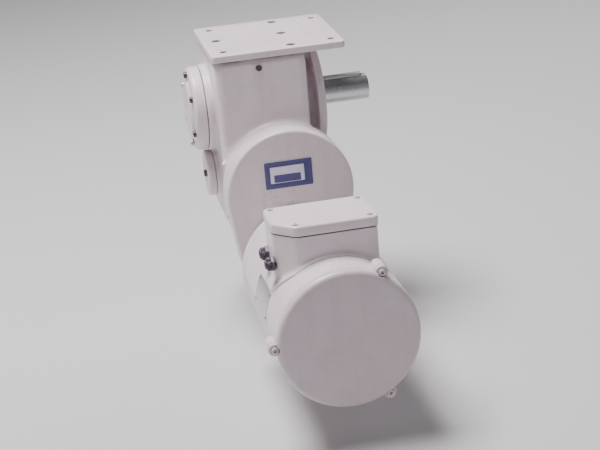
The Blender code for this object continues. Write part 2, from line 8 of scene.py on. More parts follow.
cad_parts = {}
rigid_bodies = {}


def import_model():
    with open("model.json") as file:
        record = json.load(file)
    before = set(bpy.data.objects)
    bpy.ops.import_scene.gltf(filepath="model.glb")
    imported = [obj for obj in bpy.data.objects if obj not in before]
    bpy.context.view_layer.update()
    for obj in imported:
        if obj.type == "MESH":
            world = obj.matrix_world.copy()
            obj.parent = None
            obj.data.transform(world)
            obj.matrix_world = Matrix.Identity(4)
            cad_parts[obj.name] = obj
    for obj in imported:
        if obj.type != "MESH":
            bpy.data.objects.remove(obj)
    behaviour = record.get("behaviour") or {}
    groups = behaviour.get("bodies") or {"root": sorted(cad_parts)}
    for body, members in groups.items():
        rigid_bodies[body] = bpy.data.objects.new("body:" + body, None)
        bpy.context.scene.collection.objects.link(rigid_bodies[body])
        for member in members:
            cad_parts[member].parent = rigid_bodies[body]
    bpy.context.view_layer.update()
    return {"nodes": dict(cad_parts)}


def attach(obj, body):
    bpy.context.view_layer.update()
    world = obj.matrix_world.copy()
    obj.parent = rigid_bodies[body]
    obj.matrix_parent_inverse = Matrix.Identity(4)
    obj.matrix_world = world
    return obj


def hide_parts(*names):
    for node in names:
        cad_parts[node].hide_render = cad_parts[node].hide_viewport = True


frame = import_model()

NODES = frame["nodes"]
scene = bpy.context.scene
for ob in list(scene.objects):
    if ob.type in {"LIGHT", "CAMERA"}:
        bpy.data.objects.remove(ob, do_unlink=True)

# The same driving positions as the CAD model, in metres.
OUT_Z, CROSS_Z = -0.100, -0.205
MX, MZ = 0.020, -0.292
EGG_R1, EGG_R2, EGG_Z2 = 0.095, 0.084, -0.290
R = 0.095
LUG_R = 0.0985
GAP = 0.0003


# ===================================================================== materials
def new_mat(name):
    m = bpy.data.materials.new(name)
    m.use_nodes = True
    return m, m.node_tree.nodes, m.node_tree.links, m.node_tree.nodes["Principled BSDF"]


def coords(n):
    return n.new("ShaderNodeTexCoord").outputs["Object"]


def noise(n, l, co, scale, detail=4.0, rough=0.55, stretch=None, distortion=0.0):
    t = n.new("ShaderNodeTexNoise")
    t.inputs["Scale"].default_value = scale
    t.inputs["Detail"].default_value = detail
    t.inputs["Roughness"].default_value = rough
    t.inputs["Distortion"].default_value = distortion
    if stretch:
        mp = n.new("ShaderNodeMapping")
        mp.inputs["Scale"].default_value = stretch
        l.new(co, mp.inputs["Vector"])
        l.new(mp.outputs["Vector"], t.inputs["Vector"])
    else:
        l.new(co, t.inputs["Vector"])
    return t.outputs["Fac"]


def ramp(n, l, fac, stops):
    r = n.new("ShaderNodeValToRGB")
    e = r.color_ramp.elements
    while len(e) < len(stops):
        e.new(0.5)
    for k, (p, c) in enumerate(stops):
        e[k].position = p
        e[k].color = (c, c, c, 1) if isinstance(c, (int, float)) else (*c, 1)
    l.new(fac, r.inputs["Fac"])
    return r.outputs["Color"]


def mix(n, l, fac, a, b, mode="MIX"):
    m = n.new("ShaderNodeMix")
    m.data_type = "RGBA"
    m.blend_type = mode
    for sock, v in ((m.inputs["Factor"], fac), (m.inputs["A"], a), (m.inputs["B"], b)):
        if hasattr(v, "is_linked") or hasattr(v, "links"):
            l.new(v, sock)
        elif isinstance(v, (int, float)):
            sock.default_value = v
        else:
            sock.default_value = (*v, 1)
    return m.outputs["Result"]


def math_node(n, l, op, a, b=None, clamp=False):
    m = n.new("ShaderNodeMath")
    m.operation = op
    m.use_clamp = clamp
    for sock, v in ((m.inputs[0], a), (m.inputs[1], b)):
        if v is None:
            continue
        if isinstance(v, (int, float)):
            sock.default_value = v
        else:
            l.new(v, sock)
    return m.outputs[0]


def bump(n, l, p, layers):
    """layers: (height socket, strength, distance in metres), finest last."""
    last = None
    for h, s, d in layers:
        b = n.new("ShaderNodeBump")
        b.inputs["Strength"].default_value = s
        b.inputs["Distance"].default_value = d
        l.new(h, b.inputs["Height"])
        if last is not None:
            l.new(last, b.inputs["Normal"])
        last = b.outputs["Normal"]
    l.new(last, p.inputs["Normal"])


def edge_mask(n, l, low, high):
    g = n.new("ShaderNodeNewGeometry")
    return ramp(n, l, g.outputs["Pointiness"], [(low, 0.0), (high, 1.0)])


def enamel(name, base, rough=0.34, cast=0.0, wear=0.5, dirt_and_shade=0.35, dust=0.25):
    """Sprayed enamel over metal: faint orange peel, uneven gloss, slight
    yellowing, dirt streaks, painted shade in hollows and crevices broken up
    like grime, and a little wear on the edges."""
    m, n, l, p = new_mat(name)
    co = coords(n)
    big = noise(n, l, co, 9.0, 3.0, 0.5)
    mid = noise(n, l, co, 46.0, 5.0, 0.6)
    fine = noise(n, l, co, 1500.0, 2.0, 0.5)
    peel = noise(n, l, co, 520.0, 2.0, 0.45)
    warm = tuple(c * k for c, k in zip(base, (0.985, 0.955, 0.925)))
    col = mix(n, l, ramp(n, l, big, [(0.35, 0.0), (0.75, 0.75)]), base, warm)
    col = mix(n, l, ramp(n, l, mid, [(0.42, 0.0), (0.80, 0.55)]), col, tuple(c * 0.86 for c in base))
    # handling smudges: broad, soft and a little darker
    smudge = noise(n, l, co, 17.0, 6.0, 0.68, None, 1.1)
    col = mix(n, l, ramp(n, l, smudge, [(0.50, 0.0), (0.72, 0.30)]), col, tuple(c * k for c, k in zip(base, (0.80, 0.77, 0.74))))
    # fine specks of settled dirt
    speck = ramp(n, l, noise(n, l, co, 640.0, 3.0, 0.6), [(0.66, 0.0), (0.72, 0.42)])
    col = mix(n, l, math_node(n, l, "MULTIPLY", speck, ramp(n, l, smudge, [(0.40, 0.15), (0.65, 1.0)])), col, (0.33, 0.295, 0.27))
    # painted shade in hollows and crevices (ambient occlusion and concave edges), broken up like grime, and dirt in
    # streaks that run down
    g = n.new("ShaderNodeNewGeometry")
    ao = n.new("ShaderNodeAmbientOcclusion")
    ao.samples = 6
    ao.inputs["Distance"].default_value = 0.013
    # darkening from ambient occlusion and concave edges: painted shade in the hollows, not dirt
    painted_ao_shade = ramp(n, l, ao.outputs["AO"], [(0.30, 1.0), (0.86, 0.0)])
    hollow = math_node(n, l, "MAXIMUM", painted_ao_shade, ramp(n, l, g.outputs["Pointiness"], [(0.42, 0.8), (0.492, 0.0)]))
    streak = ramp(n, l, noise(n, l, co, 60.0, 3.0, 0.6, (1.0, 1.0, 0.09)), [(0.52, 0.0), (0.80, 1.0)])
    blot = ramp(n, l, noise(n, l, co, 24.0, 6.0, 0.62), [(0.40, 0.25), (0.70, 1.0)])
    grime_and_painted_shade = math_node(n, l, "MULTIPLY", hollow, blot)
    grime_and_painted_shade = math_node(n, l, "MULTIPLY", grime_and_painted_shade, dirt_and_shade * 2.3, True)
    grime2 = math_node(n, l, "MULTIPLY", streak, dirt_and_shade * 0.55, True)
    grime_and_painted_shade = math_node(n, l, "MAXIMUM", grime_and_painted_shade, grime2)
    # darkens the paint: painted shade in the hollows, real dirt in the streaks
    col = mix(n, l, grime_and_painted_shade, col, (0.30, 0.265, 0.235))
    # dust on faces that look up
    sep = n.new("ShaderNodeSeparateXYZ")
    l.new(g.outputs["Normal"], sep.inputs[0])
    up = ramp(n, l, sep.outputs["Z"], [(0.55, 0.0), (0.95, 1.0)])
    dusty = math_node(n, l, "MULTIPLY", up, ramp(n, l, noise(n, l, co, 30.0, 6.0, 0.7), [(0.35, 0.2), (0.75, 1.0)]))
    dusty = math_node(n, l, "MULTIPLY", dusty, dust * 0.55, True)
    col = mix(n, l, dusty, col, (0.60, 0.555, 0.51))
    # chips: darker primer along proud edges
    chips = math_node(n, l, "MULTIPLY", edge_mask(n, l, 0.520, 0.575),
                      ramp(n, l, noise(n, l, co, 210.0, 6.0, 0.7), [(0.54, 0.0), (0.58, 1.0)]))
    chips = math_node(n, l, "MULTIPLY", chips, wear, True)
    col = mix(n, l, chips, col, (0.30, 0.29, 0.28))
    l.new(col, p.inputs["Base Color"])
    ro = math_node(n, l, "MULTIPLY", mid, 0.16)
    ro = math_node(n, l, "ADD", ro, rough - 0.08)
    ro = math_node(n, l, "ADD", ro, math_node(n, l, "MULTIPLY", grime_and_painted_shade, 0.30))
    ro = math_node(n, l, "ADD", ro, math_node(n, l, "MULTIPLY", dusty, 0.35), True)
    l.new(ro, p.inputs["Roughness"])
    p.inputs["Specular IOR Level"].default_value = 0.5
    p.inputs["Coat Weight"].default_value = 0.18
    p.inputs["Coat Roughness"].default_value = 0.16
    layers = []
    if cast > 0:
        layers.append((noise(n, l, co, 90.0, 6.0, 0.65), 0.60 * cast, 0.0014))
        layers.append((noise(n, l, co, 330.0, 5.0, 0.6), 0.60 * cast, 0.0007))
    layers.append((peel, 0.10, 0.0004))
    layers.append((fine, 0.03, 0.0002))
    layers.append((chips, 0.25, -0.0002))
    bump(n, l, p, layers)
    return m


def metal(name, base, rough, rings=None, stain=0.3, grain=(1, 1, 1), depth=1.0):
    """Machined metal: fine tool marks, uneven gloss, oil film and light stain.
    rings is ('X' or 'Y', a, b): turning marks about that axis through (a, b)."""
    m, n, l, p = new_mat(name)
    co = coords(n)
    p.inputs["Metallic"].default_value = 1.0
    blot = noise(n, l, co, 70.0, 6.0, 0.65)
    dark = tuple(c * 0.55 for c in base)
    col = mix(n, l, ramp(n, l, blot, [(0.45, 0.0), (0.80, stain)]), base, dark)
    warm = (base[0] * 0.95, base[1] * 0.86, base[2] * 0.72)
    col = mix(n, l, ramp(n, l, noise(n, l, co, 18.0, 4.0, 0.5), [(0.50, 0.0), (0.85, stain * 0.8)]), col, warm)
    l.new(col, p.inputs["Base Color"])
    if rings:
        mp = n.new("ShaderNodeMapping")
        axis, a, b = rings
        mp.inputs["Location"].default_value = (0, -a, -b) if axis == "X" else (-a, 0, -b)
        l.new(co, mp.inputs["Vector"])
        w = n.new("ShaderNodeTexWave")
        w.wave_type = "RINGS"
        w.rings_direction = axis
        w.inputs["Scale"].default_value = 260.0
        w.inputs["Distortion"].default_value = 1.2
        w.inputs["Detail"].default_value = 2.0
        l.new(mp.outputs["Vector"], w.inputs["Vector"])
        along = n.new("ShaderNodeTexWave")
        along.wave_type = "BANDS"
        along.bands_direction = axis
        along.inputs["Scale"].default_value = 420.0
        along.inputs["Distortion"].default_value = 0.6
        l.new(mp.outputs["Vector"], along.inputs["Vector"])
        marks = math_node(n, l, "ADD", w.outputs["Fac"], along.outputs["Fac"])
    else:
        marks = noise(n, l, co, 420.0, 4.0, 0.6, grain)
    ro = math_node(n, l, "MULTIPLY", noise(n, l, co, 60.0, 4.0, 0.5), 0.14)
    ro = math_node(n, l, "ADD", ro, rough - 0.06)
    l.new(ro, p.inputs["Roughness"])
    bump(n, l, p, [(blot, 0.05 * depth, 0.0002), (marks, 0.10 * depth, 0.0001)])
    return m


def plastic(name, base, rough, grain=900.0, depth=0.12):
    m, n, l, p = new_mat(name)
    co = coords(n)
    b = noise(n, l, co, 60.0, 5.0, 0.6)
    col = mix(n, l, ramp(n, l, b, [(0.40, 0.0), (0.80, 0.5)]), base, tuple(min(1, c * 1.7 + 0.02) for c in base))
    col = mix(n, l, edge_mask(n, l, 0.53, 0.62), col, tuple(min(1, c * 1.9 + 0.05) for c in base))
    l.new(col, p.inputs["Base Color"])
    ro = math_node(n, l, "ADD", math_node(n, l, "MULTIPLY", b, 0.22), rough - 0.10)
    l.new(ro, p.inputs["Roughness"])
    bump(n, l, p, [(noise(n, l, co, grain, 3.0, 0.6), depth, 0.00025)])
    return m


WHITE = (0.780, 0.694, 0.738)
MAT = {
    "cast": enamel("white_enamel_cast", WHITE, 0.36, cast=0.55, wear=0.45, dirt_and_shade=0.42, dust=0.35),
    "sheet": enamel("white_enamel_smooth", WHITE, 0.31, cast=0.08, wear=0.40, dirt_and_shade=0.30, dust=0.22),
    # disc: a darker copy of the white enamel, painted shade for the end cover, which is the same white paint turned
    # away from the light
    "disc": enamel("white_enamel_shaded_disc", (0.645, 0.558, 0.602), 0.36, cast=0.12, wear=0.35, dirt_and_shade=0.28, dust=0.2),
    # arch: a darker copy of the white enamel, painted shade for the first-stage case, which is the same white paint
    # turned away from the light
    "arch": enamel("white_enamel_shaded_arch", (0.735, 0.648, 0.684), 0.36, cast=0.30, wear=0.45, dirt_and_shade=0.32, dust=0.3),
    "screw": metal("zinc_screws", (0.52, 0.51, 0.50), 0.38, None, 0.5),
    "painted_screw": enamel("white_enamel_screws", tuple(c * 0.92 for c in WHITE), 0.38, cast=0.1, wear=0.8, dirt_and_shade=0.7),
    "dark_screw": metal("black_oxide_screws", (0.10, 0.09, 0.10), 0.42, None, 0.4),
    "shaft": metal("ground_shaft_steel", (0.56, 0.56, 0.57), 0.27, ("X", 0.0, OUT_Z), 0.18, depth=0.35),
    "steel_y": metal("turned_steel", (0.56, 0.56, 0.57), 0.30, ("Y", MX, MZ), 0.3),
    "key": metal("key_steel", (0.50, 0.50, 0.51), 0.33, None, 0.35, (6, 1, 1)),
    "gear": metal("gear_steel", (0.30, 0.30, 0.31), 0.34, None, 0.4),
    "bearing": metal("bearing_steel", (0.62, 0.62, 0.63), 0.22, None, 0.15),
    "lamination": metal("stacked_laminations", (0.34, 0.34, 0.36), 0.45, None, 0.5, (1, 40, 1)),
    "copper": metal("varnished_copper", (0.66, 0.28, 0.11), 0.38, None, 0.5, (1, 30, 1)),
    "brass": metal("breather_brass", (0.66, 0.48, 0.20), 0.32, ("Y", 0.0, -0.045), 0.35),
    "rubber": plastic("seal_rubber", (0.025, 0.025, 0.026), 0.62, 700.0, 0.2),
    "gland": plastic("dark_gland_plastic", (0.038, 0.026, 0.043), 0.42, 900.0, 0.12),
    "board": plastic("phenolic_board", (0.40, 0.15, 0.055), 0.45, 900.0, 0.1),
    "blue": plastic("label_blue_ink", (0.012, 0.014, 0.095), 0.36, 1200.0, 0.03),
    "pale": plastic("label_pale_face", (0.66, 0.65, 0.83), 0.34, 1200.0, 0.03),
    "foil": metal("rating_plate_foil", (0.66, 0.655, 0.66), 0.34, None, 0.25, (1, 14, 1)),
}


# ======================================================================= meshes
def to_world(axis, at):
    """Local x, y and the turning axis z, to the row frame, as in the CAD."""
    if axis == "Z":
        return Matrix.Translation((at[0], at[1], 0))
    if axis == "Y":
        return Matrix.Translation((at[0], 0, at[1])) @ Matrix.Rotation(-math.pi / 2, 4, "X")
    return Matrix.Translation((0, at[0], at[1])) @ Matrix.Rotation(math.pi / 2, 4, "Y")


def make(name, bm, mat, sharp=32.0, body="root", slot=None, replaces=(), normals=True):
    if normals:
        bmesh.ops.recalc_face_normals(bm, faces=bm.faces)
    me = bpy.data.meshes.new(name)
    bm.to_mesh(me)
    bm.free()
    ob = bpy.data.objects.new(name, me)
    scene.collection.objects.link(ob)
    me.shade_smooth()
    me.set_sharp_from_angle(angle=math.radians(sharp))
    if mat is not None:
        me.materials.append(MAT[mat])
    if body:
        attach(ob, body)
        if replaces:
            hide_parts(*replaces)
    return ob


def rounded(profile, radii, steps=5, closed=False):
    """Rounds the corners of a polyline. radii is one number or one for each point."""
    n = len(profile)
    if isinstance(radii, (int, float)):
        radii = [radii] * n
    out = []
    for i, (p, r) in enumerate(zip(profile, radii)):
        if (not closed and i in (0, n - 1)) or r <= 0:
            out.append(tuple(p))
            continue
        a, b, c = Vector(profile[i - 1]), Vector(p), Vector(profile[(i + 1) % n])
        u, v = (a - b), (c - b)
        lu, lv = u.length, v.length
        u.normalize(), v.normalize()
        ang = u.angle(v)
        if ang > math.pi - 0.02:
            out.append(tuple(p))
            continue
        d = min(r / math.tan(ang / 2), 0.48 * lu, 0.48 * lv)
        rr = d * math.tan(ang / 2)
        mid = (u + v).normalized()
        cen = b + mid * (rr / math.sin(ang / 2))
        s, e = (b + u * d) - cen, (b + v * d) - cen
        a0 = math.atan2(s.y, s.x)
        turn = math.atan2(s.x * e.y - s.y * e.x, s.dot(e))
        k = max(2, int(math.ceil(steps * abs(turn) / (math.pi / 2))))
        for j in range(k + 1):
            t = a0 + turn * j / k
            out.append((cen.x + rr * math.cos(t), cen.y + rr * math.sin(t)))
    return out


def lathe_bm(profile, axis, at, seg=96, closed=False):
    """Turned surface: (radius, place along the axis)."""
    bm = bmesh.new()
    mtx = to_world(axis, at)
    rows = []
    for r, s in profile:
        if r < 1e-6:
            rows.append([bm.verts.new(mtx @ Vector((0, 0, s)))])
        else:
            rows.append([bm.verts.new(mtx @ Vector((r * math.cos(2 * math.pi * k / seg),
                                                    r * math.sin(2 * math.pi * k / seg), s)))
                         for k in range(seg)])
    pairs = list(zip(rows, rows[1:]))
    if closed:
        pairs.append((rows[-1], rows[0]))
    for a, b in pairs:
        for k in range(seg):
            j = (k + 1) % seg
            if len(a) == 1 and len(b) == 1:
                continue
            if len(a) == 1:
                bm.faces.new((a[0], b[k], b[j]))
            elif len(b) == 1:
                bm.faces.new((a[k], b[0], a[j]))
            else:
                bm.faces.new((a[k], b[k], b[j], a[j]))
    return bm


def lathe(name, profile, axis, at, mat, seg=96, closed=False, **kw):
    return make(name, lathe_bm(profile, axis, at, seg, closed), mat, **kw)


def offset_loop(loop, d):
    """Moves a convex, anticlockwise outline inwards by d."""
    n = len(loop)
    out = []
    for i in range(n):
        a, b, c = Vector(loop[i - 1]), Vector(loop[i]), Vector(loop[(i + 1) % n])
        e1, e2 = (b - a).normalized(), (c - b).normalized()
        n1, n2 = Vector((-e1.y, e1.x)), Vector((-e2.y, e2.x))
        m = (n1 + n2)
        m = m.normalized() / max(0.35, math.cos(n1.angle(n2, 0) / 2))
        out.append((b.x + m.x * d, b.y + m.y * d))
    return out


def slab_bm(loop, s0, s1, axis, at=(0, 0), r0=0.0, r1=0.0, steps=4, taper=0.0):
    """Outline made solid from s0 to s1, its edges rounded by r0 and r1."""
    area = sum(a[0] * b[1] - b[0] * a[1] for a, b in zip(loop, loop[1:] + loop[:1]))
    if area < 0:
        loop = list(reversed(loop))
    bm = bmesh.new()
    mtx = to_world(axis, at)
    levels = []
    if r0 > 0:
        for k in range(steps + 1):
            t = math.pi / 2 * k / steps
            levels.append((s0 + r0 * (1 - math.sin(t)), r0 * (1 - math.cos(t))))
        levels = [(s0 + r0 * (1 - math.cos(math.pi / 2 * k / steps)),
                   r0 * (1 - math.sin(math.pi / 2 * k / steps))) for k in range(steps + 1)]
    else:
        levels.append((s0, 0.0))
    if r1 > 0:
        levels += [(s1 - r1 * (1 - math.sin(math.pi / 2 * k / steps)),
                    r1 * (1 - math.cos(math.pi / 2 * k / steps))) for k in range(steps + 1)]
    else:
        levels.append((s1, 0.0))
    rows = []
    for s, d in levels:
        d2 = d + taper * (s - s0) / (s1 - s0)
        rows.append([bm.verts.new(mtx @ Vector((x, y, s))) for x, y in (offset_loop(loop, d2) if abs(d2) > 1e-9 else loop)])
    n = len(loop)
    for a, b in zip(rows, rows[1:]):
        for k in range(n):
            j = (k + 1) % n
            bm.faces.new((a[k], a[j], b[j], b[k]))
    bm.faces.new(list(reversed(rows[0])))
    bm.faces.new(rows[-1])
    return bm


def loft_bm(levels, axis, at=(0, 0)):
    """Closed solid through outlines that have the same number of points."""
    bm = bmesh.new()
    mtx = to_world(axis, at)
    rows = [[bm.verts.new(mtx @ Vector((x, y, s))) for x, y in loop] for loop, s in levels]
    n = len(rows[0])
    for a, b in zip(rows, rows[1:]):
        for k in range(n):
            j = (k + 1) % n
            bm.faces.new((a[k], a[j], b[j], b[k]))
    bm.faces.new(list(reversed(rows[0])))
    bm.faces.new(rows[-1])
    return bm


def slab(name, loop, s0, s1, axis, mat, at=(0, 0), r0=0.0, r1=0.0, steps=4, **kw):
    return make(name, slab_bm(loop, s0, s1, axis, at, r0, r1, steps), mat, **kw)


def rect(x0, x1, y0, y1, r=0.0, steps=6):
    pts = [(x0, y0), (x1, y0), (x1, y1), (x0, y1)]
    return rounded(pts, r, steps, closed=True) if r > 0 else pts


def circle(r, n=48, cx=0.0, cy=0.0, a0=0.0):
    return [(cx + r * math.cos(a0 + 2 * math.pi * k / n), cy + r * math.sin(a0 + 2 * math.pi * k / n)) for k in range(n)]


def egg(shrink=0.0, n1=72, n2=48):
    r1, r2 = EGG_R1 - shrink, EGG_R2 - shrink
    lean = math.asin((r1 - r2) / (CROSS_Z - EGG_Z2))
    pts = []
    for i in range(n1 + 1):
        a = -lean + (math.pi + 2 * lean) * i / n1
        pts.append((MX + r1 * math.cos(a), -(CROSS_Z + r1 * math.sin(a))))
    for i in range(n2 + 1):
        a = math.pi + lean + (math.pi - 2 * lean) * i / n2
        pts.append((MX + r2 * math.cos(a), -(EGG_Z2 + r2 * math.sin(a))))
    return pts


def temp(bm, name="tmp"):
    bmesh.ops.recalc_face_normals(bm, faces=bm.faces)
    me = bpy.data.meshes.new(name)
    bm.to_mesh(me)
    bm.free()
    ob = bpy.data.objects.new(name, me)
    scene.collection.objects.link(ob)
    return ob


def box_bm(x0, x1, y0, y1, z0, z1, r=0.0, seg=3):
    bm = bmesh.new()
    bmesh.ops.create_cube(bm, size=1.0)
    bmesh.ops.scale(bm, vec=(x1 - x0, y1 - y0, z1 - z0), verts=bm.verts)
    bmesh.ops.translate(bm, vec=((x0 + x1) / 2, (y0 + y1) / 2, (z0 + z1) / 2), verts=bm.verts)
    if r > 0:
        bmesh.ops.bevel(bm, geom=list(bm.edges), offset=r, segments=seg, profile=0.5, affect="EDGES")
    return bm


def boolean(ob, others, op):
    """Applies a Boolean of ob with each other mesh, and removes those."""
    for o in others:
        md = ob.modifiers.new("b", "BOOLEAN")
        md.operation = op
        md.object = o
        md.solver = "EXACT"
    apply_all(ob)
    for o in others:
        me = o.data
        bpy.data.objects.remove(o, do_unlink=True)
        bpy.data.meshes.remove(me)
    return ob


def apply_all(ob):
    bpy.context.view_layer.update()
    dg = bpy.context.evaluated_depsgraph_get()
    me = bpy.data.meshes.new_from_object(ob.evaluated_get(dg))
    old = ob.data
    ob.modifiers.clear()
    ob.data = me
    bpy.data.meshes.remove(old)
    return ob


def cast_blend(name, solids, voxel, passes, factor=0.5):
    """Joins closed shapes into one casting and eases every inside and outside
    corner, as a pattern maker's fillets do."""
    first = solids[0]
    bm = bmesh.new()
    for s in solids:
        bm.from_mesh(s.data)
    bm.to_mesh(first.data)
    bm.free()
    for s in solids[1:]:
        me = s.data
        bpy.data.objects.remove(s, do_unlink=True)
        bpy.data.meshes.remove(me)
    md = first.modifiers.new("r", "REMESH")
    md.mode = "VOXEL"
    md.voxel_size = voxel
    sm = first.modifiers.new("s", "SMOOTH")
    sm.factor = factor
    sm.iterations = passes
    apply_all(first)
    first.name = name
    first.data.name = name
    return first


def tidy(ob, dist=0.00001):
    """Takes out the slivers that cutting leaves along the lines where faces cross."""
    bm = bmesh.new()
    bm.from_mesh(ob.data)
    for _ in range(3):
        bmesh.ops.remove_doubles(bm, verts=bm.verts, dist=dist)
        bmesh.ops.dissolve_degenerate(bm, edges=bm.edges, dist=dist)
        bmesh.ops.triangulate(bm, faces=[f for f in bm.faces if len(f.verts) > 3])
        seen = {}
        for f in bm.faces:
            seen.setdefault(frozenset(v.index for v in f.verts), []).append(f)
        twins = [f for group in seen.values() if len(group) > 1 for f in group]
        if twins:
            bmesh.ops.delete(bm, geom=twins, context="FACES")
        loose = [v for v in bm.verts if not v.link_faces]
        if loose:
            bmesh.ops.delete(bm, geom=loose, context="VERTS")
    bm.to_mesh(ob.data)
    bm.free()


def finish_piece(ob, mat, body="root", replaces=(), sharp=None):
    ob.data.materials.clear()
    ob.data.materials.append(MAT[mat])
    ob.data.shade_smooth()
    if sharp:
        ob.data.set_sharp_from_angle(angle=math.radians(sharp))
    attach(ob, body)
    if replaces:
        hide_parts(*replaces)
    return ob


# ==================================================================== fasteners
def orient(axis, out, at, s):
    """Places a fastener: its local +Z becomes the outward direction."""
    d = {"X": Vector((out, 0, 0)), "Y": Vector((0, out, 0)), "Z": Vector((0, 0, out))}[axis]
    p = {"X": Vector((s, at[0], at[1])), "Y": Vector((at[0], s, at[1])), "Z": Vector((at[0], at[1], s))}[axis]
    return Matrix.Translation(p) @ d.to_track_quat("Z", "Y").to_matrix().to_4x4()


def socket_screw(name, axis, out, at, s, r, h, mat="screw", spin=0.3, body="root", slot="zinc_plate", replaces=(), seg=32):
    """Cap screw with a rounded rim and a real hexagon socket."""
    bm = bmesh.new()
    hexr = 0.52 * r
    depth = 0.55 * h

    def ring(rad, z, n=seg, six=False):
        pts = []
        for k in range(n):
            a = 2 * math.pi * k / n + spin
            if six:
                q = (a - spin) % (math.pi / 3) - math.pi / 6
                rr = rad * math.cos(math.pi / 6) / math.cos(q)
            else:
                rr = rad
            pts.append(bm.verts.new((rr * math.cos(a), rr * math.sin(a), z)))
        return pts

    rows = [ring(r, 0.0), ring(r, h * 0.80), ring(r * 0.97, h * 0.92), ring(r * 0.90, h), ring(r * 0.64, h),
            ring(hexr, h - 0.03 * h, six=True), ring(hexr, h - depth, six=True)]
    for a, b in zip(rows, rows[1:]):
        for k in range(seg):
            j = (k + 1) % seg
            bm.faces.new((a[k], a[j], b[j], b[k]))
    tip = bm.verts.new((0, 0, h - depth - 0.12 * h))
    for k in range(seg):
        bm.faces.new((rows[-1][k], rows[-1][(k + 1) % seg], tip))
    bm.faces.new(list(reversed(rows[0])))
    bm.transform(orient(axis, out, at, s))
    return make(name, bm, mat, body=body, slot=slot, replaces=replaces, sharp=38)


def hex_bolt(name, axis, out, at, s, af, h, mat="screw", spin=0.2, washer=True, body="root", slot="zinc_plate"):
    """Hexagon head with its chamfered crown, on a plain washer."""
    bm = bmesh.new()
    z0 = 0.0
    if washer:
        wr, wt = af * 0.98, h * 0.22
        seg = 32
        prof = [(0.0, 0.0), (wr, 0.0), (wr, wt * 0.8), (wr * 0.98, wt), (0.0, wt)]
        rows = []
        for r, z in prof:
            rows.append([bm.verts.new((0, 0, z))] if r == 0 else
                        [bm.verts.new((r * math.cos(2 * math.pi * k / seg), r * math.sin(2 * math.pi * k / seg), z)) for k in range(seg)])
        for a, b in zip(rows, rows[1:]):
            for k in range(seg):
                j = (k + 1) % seg
                if len(a) == 1:
                    bm.faces.new((a[0], b[j], b[k]))
                elif len(b) == 1:
                    bm.faces.new((a[k], a[j], b[0]))
                else:
                    bm.faces.new((a[k], a[j], b[j], b[k]))
        z0 = wt + 0.00005
    R6 = af / math.sqrt(3)
    n = 36
    ri = af / 2 * 0.97

    def hexring(rad, z, lower=0.0):
        pts = []
        for k in range(n):
            a = 2 * math.pi * k / n
            q = a % (math.pi / 3) - math.pi / 6
            rr = rad * math.cos(math.pi / 6) / math.cos(q)
            drop = lower * max(0.0, rr - ri) / max(1e-9, R6 - ri)
            pts.append(bm.verts.new((rr * math.cos(a + spin), rr * math.sin(a + spin), z - drop)))
        return pts

    rows = [hexring(R6, z0), hexring(R6, z0 + h, h * 0.16),
            [bm.verts.new((ri * math.cos(2 * math.pi * k / n + spin), ri * math.sin(2 * math.pi * k / n + spin), z0 + h)) for k in range(n)]]
    for a, b in zip(rows, rows[1:]):
        for k in range(n):
            j = (k + 1) % n
            bm.faces.new((a[k], a[j], b[j], b[k]))
    bm.faces.new(list(reversed(rows[0])))
    bm.faces.new(rows[-1])
    bm.transform(orient(axis, out, at, s))
    return make(name, bm, mat, body=body, slot=slot, sharp=25)


# ==================================================================== gear case
CASE_VOX = 0.0020
solids = [
    temp(box_bm(-0.068, 0.068, -0.100, 0.100, -0.275, -0.0103, 0.011, 4)),
    temp(slab_bm(egg(0.0), -0.112, -0.0985, "Y", r0=0.0, r1=0.003)),
    temp(slab_bm(circle(0.066, 72), -0.0815, -0.060, "X", (0, OUT_Z))),
    temp(slab_bm(circle(0.038, 48), -0.0748, -0.060, "X", (0, CROSS_Z))),
    temp(slab_bm(circle(0.038, 48), 0.060, 0.0758, "X", (0, CROSS_Z))),
    temp(slab_bm(circle(0.058, 64), 0.060, 0.0715, "X", (0, OUT_Z))),
]
# webs that stiffen the rim, and the pads under the plugs
for x0, x1, z in ((0.066, 0.108, -0.205), (-0.074, -0.066, -0.245), (-0.074, -0.066, -0.165)):
    bm = bmesh.new()
    lo, hi = (x0, x1)
    far = 0.030 if x1 > 0 else 0.022
    inner, outer = (lo, hi) if x1 > 0 else (hi, lo)
    vs = [bm.verts.new(v) for v in (
        (inner, -0.102, z - 0.0045), (outer, -0.102, z - 0.0045), (inner, -0.102 + far, z - 0.0045),
        (inner, -0.102, z + 0.0045), (outer, -0.102, z + 0.0045), (inner, -0.102 + far, z + 0.0045))]
    for f in ((0, 1, 2), (5, 4, 3), (0, 3, 4, 1), (1, 4, 5, 2), (2, 5, 3, 0)):
        bm.faces.new([vs[i] for i in f])
    solids.append(temp(bm))
cove = temp(loft_bm([(egg(-0.012, 48, 32), -0.0990), (egg(-0.0045, 48, 32), -0.1015), (egg(-0.0012, 48, 32), -0.1050), (egg(0.0, 48, 32), -0.1100)], "Y"))
boolean(cove, [temp(box_bm(-0.0655, 0.0655, -0.2, 0.0, -0.2640, 0.1))], "INTERSECT")
solids.append(cove)
solids.append(temp(slab_bm(circle(0.0125, 32), -0.0690, -0.060, "X", (0.075, -0.215))))
solids.append(temp(slab_bm(circle(0.0125, 32), -0.2758, -0.268, "Z", (-0.035, 0.055))))
case = cast_blend("gear_case_casting", solids, CASE_VOX, 9)
# machined faces and bores, cut after the casting as they are on the real one
hollow = temp(box_bm(-0.060, 0.060, -0.092, 0.092, -0.267, -0.018))
boolean(hollow, [temp(slab_bm(circle(0.0105, 32), -0.0315, 0.0, "Z", (-0.050, y))) for y in (-0.075, 0.075)], "DIFFERENCE")
